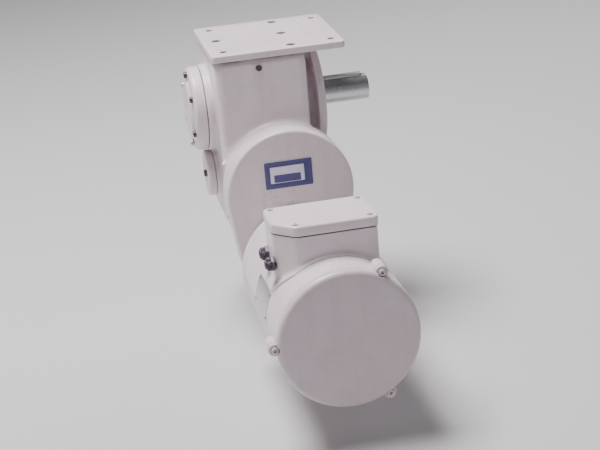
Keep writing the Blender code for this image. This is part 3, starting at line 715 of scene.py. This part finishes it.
# a tapped hole with a counterbored mouth, under two of the plate's holes
TAPPED = [(0.0, 0.01), (0.0055, 0.01), (0.0055, -0.0130), (0.00425, -0.0142), (0.00425, -0.0285), (0.0, -0.0305)]
cuts = [
    temp(lathe_bm(TAPPED, "Z", (-0.050, -0.075), 32)),
    temp(lathe_bm(TAPPED, "Z", (-0.050, 0.075), 32)),
    temp(box_bm(-0.3, 0.3, -0.3, -0.112, -0.6, 0.3)),
    temp(box_bm(-0.3, 0.3, -0.3, 0.3, -0.0103, 0.3)),
    temp(box_bm(-0.3, -0.0820, -0.2, 0.2, -0.6, 0.3)),
    hollow,
    temp(slab_bm(circle(0.0428, 96), -0.09, 0.09, "X", (0, OUT_Z))),
    temp(slab_bm(circle(0.0313, 72), -0.09, 0.09, "X", (0, CROSS_Z))),
    temp(slab_bm(circle(0.0313, 72), -0.12, -0.05, "Y", (MX, CROSS_Z))),
    temp(box_bm(-0.050, 0.050, 0.080, 0.120, -0.255, -0.032)),
]
boolean(case, cuts, "DIFFERENCE")
finish_piece(case, "cast", replaces=("gear_case",), sharp=40)

# the carrier of the pinion bearings inside the case
lathe("pinion_bearing_carrier", [(0.0313, -0.0925), (0.040, -0.0925), (0.040, -0.0555), (0.0385, -0.054), (0.0328, -0.054), (0.0313, -0.0555)],
      "Y", (MX, CROSS_Z), "cast", 64, closed=True, slot="white_paint")

# ============================================================= first-stage case
arch = make("first_stage_cover", slab_bm(egg(0.0, 96, 64), -0.150, -0.1123, "Y", r0=0.0045, r1=0.0008, steps=5), None, body=None)
boolean(arch, [temp(slab_bm(egg(0.007), -0.142, -0.10, "Y")), temp(slab_bm(circle(0.0455, 96), -0.16, -0.13, "Y", (MX, MZ)))], "DIFFERENCE")
# the first-stage case takes the darker copy of the white enamel: painted shade
finish_piece(arch, "arch", replaces=("first_stage_case",), sharp=35)

# =================================================================== side covers
lathe("bearing_cover_left", rounded(
    [(0.0, -0.0845), (0.036, -0.0845), (0.036, -0.0823), (0.064, -0.0823), (0.064, -0.0965), (0.0602, -0.1000),
     (0.0475, -0.1000), (0.0420, -0.1045), (0.018, -0.1045), (0.0165, -0.1038), (0.0, -0.1038)],
    [0, 0, 0, 0.0005, 0.004, 0.002, 0.003, 0.0025, 0.001, 0.0008, 0], 5), "X", (0, OUT_Z), "cast", 144,
    slot="white_paint", replaces=("output_bearing_cover",))
lathe("cross_cap_left", rounded(
    [(0.0, -0.0753), (0.036, -0.0753), (0.036, -0.0845), (0.0335, -0.0865), (0.020, -0.0865), (0.0185, -0.0855), (0.0, -0.0855)],
    [0, 0.0004, 0.0025, 0.002, 0.001, 0.001, 0], 5), "X", (0, CROSS_Z), "cast", 96,
    slot="white_paint", replaces=("cross_bearing_cap",))
hex_bolt("cross_cap_bolt", "X", -1, (0, CROSS_Z - 0.0), -0.0857, 0.010, 0.0040, "dark_screw", washer=False)
lathe("cross_cap_right", rounded(
    [(0.0, 0.0763), (0.036, 0.0763), (0.036, 0.0800), (0.0335, 0.0822), (0.024, 0.0822), (0.0225, 0.0812), (0.0, 0.0812)],
    [0, 0.0004, 0.002, 0.001, 0.001, 0.001, 0], 5), "X", (0, CROSS_Z), "cast", 96,
    slot="white_paint", replaces=("cross_bearing_plug",))

# ================================================================= output flange
fl = make("output_flange_casting", lathe_bm(rounded(
    [(0.0315, 0.1005), (0.055, 0.1005), (0.055, 0.097), (0.080, 0.097), (0.080, 0.085), (0.053, 0.085),
     (0.053, 0.0683), (0.0428, 0.0683), (0.0428, 0.0815), (0.0315, 0.0815)],
    [0.0008, 0.0008, 0.0004, 0.0016, 0.0016, 0.006, 0.0006, 0.0006, 0.0005, 0.0005], 5, closed=True), "X", (0, OUT_Z), 144, closed=True), None, body=None)
boolean(fl, [temp(slab_bm(circle(0.0055, 36), 0.07, 0.12, "X", (0.068 * math.cos(math.radians(45 + 90 * i)), OUT_Z + 0.068 * math.sin(math.radians(45 + 90 * i)))))
             for i in range(4)], "DIFFERENCE")
finish_piece(fl, "cast", replaces=("output_flange",), sharp=35)
lathe("output_lip_seal", rounded(
    [(0.0224, 0.0935), (0.0250, 0.0940), (0.0272, 0.0928), (0.0296, 0.0938), (0.0312, 0.0938), (0.0312, 0.0855),
     (0.0262, 0.0855), (0.0258, 0.0900), (0.0236, 0.0915), (0.0224, 0.0908)],
    0.0006, 3, closed=True), "X", (0, OUT_Z), "rubber", 96, closed=True, slot="black_rubber", replaces=("output_seal",))

# ================================================================ mounting plate
pl = make("mounting_plate_bar", slab_bm(rect(-0.072, 0.128, -0.100, 0.100, 0.006), -0.010, 0.0, "Z", r0=0.0012, r1=0.0012, steps=3), None, body=None)
holes = []
for x, y in ((-0.050, -0.075), (-0.050, 0.075), (0.112, -0.075), (0.112, 0.075)):
    holes.append(temp(slab_bm(circle(0.0055, 36), -0.02, 0.01, "Z", (x, y))))
for x, y in ((-0.050, 0.0), (0.050, -0.080), (0.050, 0.080), (0.050, 0.0)):
    holes.append(temp(slab_bm(circle(0.0072, 36), -0.0065, 0.01, "Z", (x, y))))
boolean(pl, holes, "DIFFERENCE")
finish_piece(pl, "sheet", replaces=("mounting_plate",), sharp=35)
for i, (x, y) in enumerate(((-0.050, 0.0), (0.050, -0.080), (0.050, 0.080), (0.050, 0.0))):
    socket_screw(f"plate_screw_{i + 1}", "Z", 1, (x, y), -0.0063, 0.0062, 0.0056, "screw", 0.4 + i)

# ==================================================================== rear cover
rc = make("rear_cover_plate", slab_bm(
    [(x, -z) for x, z in rect(-0.060, 0.060, -0.265, -0.022, 0.010)], 0.1003, 0.108, "Y", r0=0.0005, r1=0.0022, steps=4), "cast",
    slot="white_paint", replaces=("rear_cover",))
make("rear_cover_panel", slab_bm([(x, -z) for x, z in rect(-0.036, 0.036, -0.235, -0.075, 0.012)], 0.1078, 0.1108, "Y", r1=0.0022, steps=4),
     "cast", slot="white_paint")
k = 0
for z in (-0.032, -0.090, -0.1435, -0.197, -0.255):
    for x in (-0.050, 0.050):
        k += 1
        socket_screw(f"rear_cover_screw_{k}", "Y", 1, (x, z), 0.1080, 0.0048, 0.0044, "screw", 0.2 * k)
for i, x in enumerate((0.0,)):
    socket_screw(f"rear_cover_screw_{k + 1 + i}", "Y", 1, (x, -0.2555), 0.1080, 0.0048, 0.0044, "screw", 1.1)

# ========================================================================= motor
mf = lathe("drive_end_flange", rounded(
    [(0.0178, -0.1425), (0.0452, -0.1425), (0.0452, -0.1503), (0.066, -0.1503), (0.066, -0.1925), (0.0705, -0.2015),
     (0.0870, -0.2095), (0.0950, -0.2260), (0.0950, -0.2397), (0.0882, -0.2397), (0.0800, -0.2175),
     (0.0345, -0.1930), (0.0263, -0.1930), (0.0263, -0.1765), (0.0178, -0.1765)],
    [0.0008, 0.0006, 0.0006, 0.0015, 0.014, 0.010, 0.014, 0.014, 0.0006, 0.0008, 0.006, 0.002, 0.0005, 0.0005, 0.0005],
    7, closed=True), "Y", (MX, MZ), "sheet", 160, closed=True, slot="white_paint", replaces=("motor_flange",))

tube = make("motor_tube", lathe_bm(rounded(
    [(0.088, -0.240), (0.095, -0.240), (0.095, -0.4985), (0.088, -0.4985)], [0.0006, 0.0012, 0.0010, 0.0006], 4, closed=True), "Y", (MX, MZ), 160, closed=True), None, body=None)
lugs = []
for deg in (60, 180, 300):
    a = math.radians(deg)
    c = (MX + LUG_R * math.cos(a), -(MZ + LUG_R * math.sin(a)))
    lugs.append(temp(slab_bm(circle(0.0085, 40, c[0], c[1]), -0.4983, -0.474, "Y", r1=0.005)))
boolean(tube, lugs, "UNION")
boolean(tube, [temp(slab_bm(circle(0.0880, 160), -0.52, -0.23, "Y", (MX, MZ))),
               temp(slab_bm(circle(0.009, 36), -0.22, -0.18, "Z", (MX, -0.405)))], "DIFFERENCE")
tidy(tube)
finish_piece(tube, "sheet", replaces=("motor_frame",), sharp=35)

end = make("end_cover_pressing", lathe_bm(rounded(
    [(0.0, -0.4985), (0.0238, -0.4985), (0.0238, -0.481), (0.032, -0.481), (0.032, -0.4988), (0.0958, -0.4988),
     (0.0958, -0.5140), (0.0, -0.5140)],
    [0, 0.0006, 0.0006, 0.0006, 0.002, 0.0006, 0.0118, 0], 14), "Y", (MX, MZ), 160), None, body=None)
lugs = []
for deg in (60, 180, 300):
    a = math.radians(deg)
    c = (MX + LUG_R * math.cos(a), -(MZ + LUG_R * math.sin(a)))
    lugs.append(temp(slab_bm(circle(0.0085, 40, c[0], c[1]), -0.5075, -0.4991, "Y", r0=0.0014)))
boolean(end, lugs, "UNION")
# spot faces let the screws' heads in past the rounded rim
spots = []
for deg in (60, 180, 300):
    a = math.radians(deg)
    spots.append(temp(lathe_bm([(0.0, -0.5160), (0.0060, -0.5160), (0.0056, -0.5078), (0.0050, -0.5072), (0.0, -0.5072)], "Y",
                               (MX + LUG_R * math.cos(a), MZ + LUG_R * math.sin(a)), 40)))
boolean(end, spots, "DIFFERENCE")
# the end cover takes the darker copy of the white enamel: painted shade
finish_piece(end, "disc", replaces=("end_cover",), sharp=35)
for i, deg in enumerate((60, 180, 300)):
    a = math.radians(deg)
    socket_screw(f"end_cover_screw_{i + 1}", "Y", -1, (MX + LUG_R * math.cos(a), MZ + LUG_R * math.sin(a)), -0.5075,
                 0.0047, 0.0030, "painted_screw", 0.3 + i, replaces=(f"end_screw_{i + 1}",))

# a blank rating plate, rolled to the tube, with its rivets
a0, a1, y0, y1 = math.radians(152), math.radians(176), -0.425, -0.345
bm = bmesh.new()
rows = []
for r in (R + 0.00005, R + 0.0007):
    g = []
    for i in range(17):
        a = a0 + (a1 - a0) * i / 16
        g.append([bm.verts.new((MX + r * math.cos(a), y, MZ + r * math.sin(a))) for y in (y0, y0 + 0.002, (y0 + y1) / 2, y1 - 0.002, y1)])
    rows.append(g)
lo, hi = rows
for i in range(16):
    for j in range(4):
        bm.faces.new((hi[i][j], hi[i + 1][j], hi[i + 1][j + 1], hi[i][j + 1]))
        bm.faces.new((lo[i][j], lo[i][j + 1], lo[i + 1][j + 1], lo[i + 1][j]))
    bm.faces.new((lo[i][0], lo[i + 1][0], hi[i + 1][0], hi[i][0]))
    bm.faces.new((lo[i][4], hi[i][4], hi[i + 1][4], lo[i + 1][4]))
for i in (0, 16):
    for j in range(4):
        bm.faces.new((lo[i][j], hi[i][j], hi[i][j + 1], lo[i][j + 1]) if i == 0 else (lo[i][j], lo[i][j + 1], hi[i][j + 1], hi[i][j]))
make("rating_plate", bm, "foil", slot="zinc_plate")

for i, (deg, y) in enumerate(((154.5, -0.421), (154.5, -0.349), (173.5, -0.421), (173.5, -0.349))):
    a = math.radians(deg)
    bm = lathe_bm(rounded([(0.0, 0.0), (0.0021, 0.0), (0.0021, 0.0004), (0.0012, 0.0010), (0.0, 0.0011)], [0, 0, 0.0002, 0.0004, 0], 3), "Z", (0, 0), 20)
    out = Vector((math.cos(a), 0, math.sin(a)))
    bm.transform(Matrix.Translation(Vector((MX, y, MZ)) + out * (R + 0.00075)) @ out.to_track_quat("Z", "Y").to_matrix().to_4x4())
    make(f"plate_rivet_{i + 1}", bm, "screw", slot="zinc_plate")

# ================================================================== terminal box
X0, X1, Y0, Y1, CH = -0.056, 0.082, -0.450, -0.360, 0.028


def box_loop(grow=0.0, ease=1.0):
    x0, x1, yy0, yy1 = X0 - grow, X1 + grow, Y0 - grow, Y1 + grow
    c = CH
    pts = [(x1, yy0), (x1, yy1), (x0, yy1), (x0, yy0 + c), (x0 + c, yy0)]
    return rounded(pts, [0.007 * ease, 0.007 * ease, 0.009 * ease, 0.013 * ease, 0.013 * ease], 7, closed=True)


base = temp(slab_bm(box_loop(0.0), -0.262, -0.150, "Z"))
base = cast_blend("terminal_box_base", [base, temp(lathe_bm([(0.0, -0.4555), (R + 0.0022, -0.4555), (R + 0.0022, -0.3545), (0.0, -0.3545)], "Y", (MX, MZ), 128))],
                  0.0014, 34)
loop_out = box_loop(0.0075, 2.4)
# the hollow's floor follows the motor, and is deepest at the cable entries
ENTRY_Y, ENTRY_Z, ENTRY_R = (-0.420, -0.378), -0.207, 0.0048
box_room = temp(slab_bm(box_loop(-0.004), -0.2165, -0.10, "Z"))
boolean(box_room, [temp(slab_bm(circle(R + 0.0030, 200), -0.48, -0.33, "Y", (MX, MZ)))], "DIFFERENCE")
boolean(base, [temp(slab_bm(loop_out, -0.275, -0.10, "Z"))], "INTERSECT")
boolean(base, [temp(box_bm(-0.2, 0.2, -0.6, -0.2, -0.1657, 0.0)),
               temp(slab_bm(circle(R + GAP, 200), -0.48, -0.33, "Y", (MX, MZ))),
               box_room,
               temp(slab_bm(circle(0.009, 36), -0.22, -0.18, "Z", (MX, -0.405)))]
        + [temp(slab_bm(circle(ENTRY_R, 48), -0.066, -0.040, "X", (y, ENTRY_Z))) for y in ENTRY_Y], "DIFFERENCE")
tidy(base)
finish_piece(base, "sheet", replaces=("terminal_box",), sharp=40)
gk = make("lid_gasket", slab_bm(box_loop(-0.0006), -0.1652, -0.1641, "Z"), None, body=None)
boolean(gk, [temp(slab_bm(box_loop(-0.004), -0.17, -0.16, "Z"))], "DIFFERENCE")
finish_piece(gk, "rubber", replaces=("terminal_box_gasket",), sharp=40)
ld = make("terminal_lid", slab_bm(box_loop(0.0008), -0.1637, -0.150, "Z", r0=0.0006, r1=0.0034, steps=6), None, body=None)
lidcuts = [temp(slab_bm(box_loop(-0.009), -0.18, -0.154, "Z"))]
LID_SCREWS = ((0.073, -0.441), (0.073, -0.369), (-0.047, -0.369), (-0.027, -0.441))
for x, y in LID_SCREWS:
    lidcuts.append(temp(slab_bm(circle(0.0046, 32), -0.1512, -0.14, "Z", (x, y))))
boolean(ld, lidcuts, "DIFFERENCE")
finish_piece(ld, "sheet", replaces=("terminal_box_lid",), sharp=35)
for i, (x, y) in enumerate(LID_SCREWS):
    socket_screw(f"terminal_lid_screw_{i + 1}", "Z", 1, (x, y), -0.1511, 0.0036, 0.0024, "painted_screw", 0.5 * i,
                 replaces=(f"lid_screw_{i + 1}",))

# cable entries: a hexagon body, a ribbed nut and a sealing ring, open right through
def polar_ring(bm, rows, seg=96):
    """Closed ring from rows of (radius or a function of the angle, height)."""
    made = []
    for r, z in rows:
        row = []
        for k in range(seg):
            a = 2 * math.pi * k / seg
            rr = r(a) if callable(r) else r
            row.append(bm.verts.new((rr * math.cos(a), rr * math.sin(a), z)))
        made.append(row)
    for lo, hi in zip(made, made[1:] + made[:1]):
        for k in range(seg):
            m = (k + 1) % seg
            bm.faces.new((lo[k], lo[m], hi[m], hi[k]))


def hexagon(size, corner):
    def radius(a):
        t = (a + math.pi / 6) % (math.pi / 3) - math.pi / 6
        return min(size / math.cos(t), corner)
    return radius


def ribs(r, depth, count=24):
    return lambda a: r + depth * math.cos(count * a)


for i, y in enumerate(ENTRY_Y):
    bm = bmesh.new()
    polar_ring(bm, [(ENTRY_R, 0.0), (hexagon(0.0091, 0.0102), 0.0), (hexagon(0.0091, 0.0102), 0.0034),
                    (hexagon(0.0088, 0.0097), 0.0040), (hexagon(0.0083, 0.0091), 0.0042), (ENTRY_R, 0.0042)])
    polar_ring(bm, [(ENTRY_R, 0.0043), (ribs(0.0083, 0.0002), 0.0043), (ribs(0.0087, 0.0003), 0.0046), (ribs(0.0087, 0.0003), 0.0082),
                    (ribs(0.0085, 0.00028), 0.0090), (ribs(0.0080, 0.0002), 0.0097), (ribs(0.0074, 0.0001), 0.0101),
                    (0.0066, 0.0102), (ENTRY_R, 0.0102)])
    polar_ring(bm, [(ENTRY_R, 0.0103), (0.0063, 0.0103), (0.0063, 0.0114), (0.0061, 0.0118), (0.0058, 0.0120),
                    (0.0053, 0.0120), (0.0050, 0.0117), (ENTRY_R, 0.0112)])
    bm.transform(orient("X", -1, (y, ENTRY_Z), -0.0563))
    make(f"cable_entry_{i + 1}", bm, "gland", slot="dark_plastic", replaces=(f"cable_gland_{i + 1}",), sharp=30)

# ========================================================================= label
LX0, LX1, LZ0, LZ1 = -0.018, 0.054, -0.196, -0.154
make("label_face", slab_bm([(x, -z) for x, z in rect(LX0, LX1, LZ0, LZ1, 0.002)], -0.1512, -0.1503, "Y", r0=0.0002, steps=2), "pale",
     slot="label_face", replaces=("label_plate",))
frame_ob = make("label_border", slab_bm([(x, -z) for x, z in rect(LX0 + 0.0004, LX1 - 0.0004, LZ0 + 0.0004, LZ1 - 0.0004, 0.002)], -0.15145, -0.15122, "Y"), None, body=None)
boolean(frame_ob, [temp(slab_bm([(x, -z) for x, z in rect(LX0 + 0.0085, LX1 - 0.0125, LZ0 + 0.0085, LZ1 - 0.0085, 0.0012)], -0.16, -0.14, "Y"))], "DIFFERENCE")
finish_piece(frame_ob, "blue", sharp=30)

make("label_band", slab_bm([(x, -z) for x, z in rect(LX0 + 0.014, LX1 - 0.018, LZ0 + 0.0095, LZ0 + 0.0210, 0.0010)], -0.15142, -0.15122, "Y"), "blue",
     slot="label_face")

# ========================================================== plugs and case bolts
lathe("breather_body", rounded(
    [(0.0, 0.1225), (0.0052, 0.1225), (0.0075, 0.1208), (0.0075, 0.1176), (0.0062, 0.1170), (0.0062, 0.1165), (0.0, 0.1165)],
    [0, 0.001, 0.0012, 0.0006, 0.0002, 0.0002, 0], 4), "Y", (0.0, -0.045), "brass", 48, slot="brass", replaces=("breather_plug",))
hex_bolt("breather_hex", "Y", 1, (0.0, -0.045), 0.1081, 0.0175, 0.0068, "brass", washer=True, slot="brass")
for nm, axis, out, at, s, node in (("oil_level_screw", "X", -1, (0.075, -0.215), -0.0690, "oil_level_plug"),
                                   ("drain_screw", "Z", -1, (-0.035, 0.055), -0.2758, "drain_plug")):
    socket_screw(nm, axis, out, at, s - 0.0001 if out < 0 else s, 0.0092, 0.0056, "screw", 0.35, replaces=(node,), seg=48)
for i in range(6):
    a = math.radians(30 + 60 * i)
    socket_screw(f"bearing_cover_screw_{i + 1}", "X", -1, (0.0535 * math.cos(a), OUT_Z + 0.0535 * math.sin(a)), -0.1001, 0.0047, 0.0044,
                 "dark_screw" if i in (1, 2, 3) else "screw", 0.3 * i, replaces=(f"cover_screw_{i + 1}",))
# bolts that hold the first-stage case to the rim, from behind
k = 0
for deg in (78, 44, 12, -14, -38):
    a = math.radians(deg)
    x, z = MX + 0.0855 * math.cos(a), CROSS_Z + 0.0855 * math.sin(a)
    if x > 0.078 or z > -0.008:
        k += 1
        hex_bolt(f"rim_bolt_{k}", "Y", 1, (x, z), -0.0985, 0.010, 0.0052, "screw", 0.2 * k)
for deg in (-68, -112):
    a = math.radians(deg)
    x, z = MX + 0.0745 * math.cos(a), EGG_Z2 + 0.0745 * math.sin(a)
    k += 1
    hex_bolt(f"rim_bolt_{k}", "Y", 1, (x, z), -0.0985, 0.010, 0.0052, "screw", 0.2 * k)
hex_bolt("case_front_plug", "Y", -1, (-0.004, -0.024), -0.1002, 0.0085, 0.0032, "dark_screw", washer=False)

# ======================================================= carried-over CAD pieces
for nm, mat in (("output_shaft", "shaft"), ("output_key", "key"), ("output_gear", "gear"), ("final_pinion", "gear"),
                ("bevel_gear", "gear"), ("bevel_pinion", "gear"), ("input_gear", "gear"), ("motor_pinion", "gear"),
                ("cross_shaft", "shaft"), ("pinion_shaft", "steel_y"), ("rotor_shaft", "steel_y"), ("rotor_core", "lamination"),
                ("stator_core", "lamination"), ("winding_end_drive", "copper"), ("winding_end_rear", "copper"),
                ("motor_shaft_seal", "rubber"), ("rear_cover_gasket", "rubber"), ("terminal_board", "board"),
                ("output_bearing_left", "bearing"), ("output_bearing_right", "bearing"), ("cross_bearing_left", "bearing"),
                ("cross_bearing_right", "bearing"), ("pinion_bearing_front", "bearing"), ("pinion_bearing_rear", "bearing"),
                ("motor_bearing_drive", "bearing"), ("motor_bearing_rear", "bearing")):
    me = NODES[nm].data
    me.materials.clear()
    me.materials.append(MAT[mat])

# finer output shaft, with its keyway, in place of the faceted one
sh = make("output_shaft_turned", lathe_bm(rounded(
    [(0.0, 0.177), (0.0188, 0.177), (0.020, 0.1758), (0.020, 0.1015), (0.0222, 0.1015), (0.0222, 0.0595), (0.0262, 0.0595), (0.0262, 0.053),
     (0.0240, 0.053), (0.0240, 0.0165), (0.0222, 0.0165), (0.0222, -0.0825), (0.0, -0.0825)],
    [0, 0.0003, 0.0003, 0.0010, 0.0008, 0.0005, 0.0005, 0.0005, 0.0005, 0.0005, 0.0005, 0.001, 0], 4), "X", (0, OUT_Z), 112), None, body=None)
slot_loop = []
L0, L1, hw = 0.1057, 0.1703, 0.0063
for kk in range(17):
    a = -math.pi / 2 + math.pi * kk / 16
    slot_loop.append((L1 - hw + hw * math.cos(a), hw * math.sin(a)))
for kk in range(17):
    a = math.pi / 2 + math.pi * kk / 16
    slot_loop.append((L0 + hw + hw * math.cos(a), hw * math.sin(a)))
boolean(sh, [temp(slab_bm(slot_loop, OUT_Z + 0.015, OUT_Z + 0.04, "Z")),
             temp(lathe_bm([(0.0, 0.160), (0.0042, 0.1625), (0.0042, 0.170), (0.0075, 0.178), (0.0, 0.178)], "X", (0, OUT_Z), 40))], "DIFFERENCE")
tidy(sh)
finish_piece(sh, "shaft", body="output", replaces=("output_shaft",), sharp=35)
key_loop = []
L0, L1, hw = 0.106, 0.170, 0.006
for kk in range(17):
    a = -math.pi / 2 + math.pi * kk / 16
    key_loop.append((L1 - hw + hw * math.cos(a), hw * math.sin(a)))
for kk in range(17):
    a = math.pi / 2 + math.pi * kk / 16
    key_loop.append((L0 + hw + hw * math.cos(a), hw * math.sin(a)))
make("output_key_bar", slab_bm(key_loop, OUT_Z + 0.0153, OUT_Z + 0.023, "Z", r0=0.0004, r1=0.0006, steps=2), "key", body="output",
     slot="bright_steel", replaces=("output_key",))

# ================================================================ studio, camera
def stage_mat(name, rgb):
    m, n, l, p = new_mat(name)
    p.inputs["Base Color"].default_value = (*rgb, 1)
    p.inputs["Roughness"].default_value = 0.85
    return m


FLOOR = -0.440
BOWL_R, BOWL_TURN, BOWL_H = 5.2, 2.2, 4.2
bowl = [(0.0, FLOOR), (BOWL_R - BOWL_TURN, FLOOR)]
for k in range(1, 25):
    t = math.pi / 2 * k / 24
    bowl.append((BOWL_R - BOWL_TURN + BOWL_TURN * math.sin(t), FLOOR + BOWL_TURN * (1 - math.cos(t))))
bowl.append((BOWL_R, FLOOR + BOWL_H))
bm = bmesh.new()
rings = []
for r, z in bowl:
    rings.append([bm.verts.new((0, 0, z))] if r < 1e-6 else
                 [bm.verts.new((r * math.cos(2 * math.pi * k / 96), r * math.sin(2 * math.pi * k / 96), z)) for k in range(96)])
for lo, hi in zip(rings, rings[1:]):
    for k in range(96):
        m = (k + 1) % 96
        if len(lo) == 1:
            bm.faces.new((lo[0], hi[k], hi[m]))
        else:
            bm.faces.new((lo[k], hi[k], hi[m], lo[m]))
for f in bm.faces:
    f.smooth = True
me = bpy.data.meshes.new("studio_floor")
bm.to_mesh(me)
bm.free()
floor = bpy.data.objects.new("studio_floor", me)
scene.collection.objects.link(floor)
me.materials.append(stage_mat("studio_pale", (0.60, 0.595, 0.60)))

world = bpy.data.worlds.new("studio")
scene.world = world
world.use_nodes = True
world.node_tree.nodes["Background"].inputs["Color"].default_value = (0.93, 0.94, 1.0, 1)
world.node_tree.nodes["Background"].inputs["Strength"].default_value = 0.13


def area(name, loc, target, size, power, color=(1, 1, 1)):
    d = bpy.data.lights.new(name, "AREA")
    d.shape = "RECTANGLE"
    d.size, d.size_y = size
    d.energy = power
    d.color = color
    o = bpy.data.objects.new(name, d)
    o.location = loc
    o.rotation_euler = (Vector(target) - Vector(loc)).to_track_quat("-Z", "Y").to_euler()
    scene.collection.objects.link(o)
    return o


C = Vector((0.030, -0.200, -0.190))
area("key_top", (-0.70, 0.12, 2.42), C, (1.2, 1.2), 165, (1.0, 0.968, 0.982))
area("left_soft", (-2.3, -1.7, 0.62), C, (1.5, 0.8), 6.5, (1.0, 0.965, 0.98))
area("back_rim", (1.5, 1.9, 1.1), C, (1.4, 1.4), 16, (0.985, 0.985, 1.0))

cam_data = bpy.data.cameras.new("camera")
cam = bpy.data.objects.new("camera", cam_data)
scene.collection.objects.link(cam)
scene.camera = cam
cam_data.sensor_width = 36.0
cam_data.lens = 100.0
cam_data.clip_end = 50
CAM_AXES = (
    (0.977534, 0.142844, -0.154996),
    (-0.193677, 0.318557, -0.927907),
    (-0.083171, 0.937079, 0.339065),
)
cam.matrix_world = Matrix.Translation((-0.356, -2.45, 0.583)) @ Matrix(CAM_AXES).to_4x4()
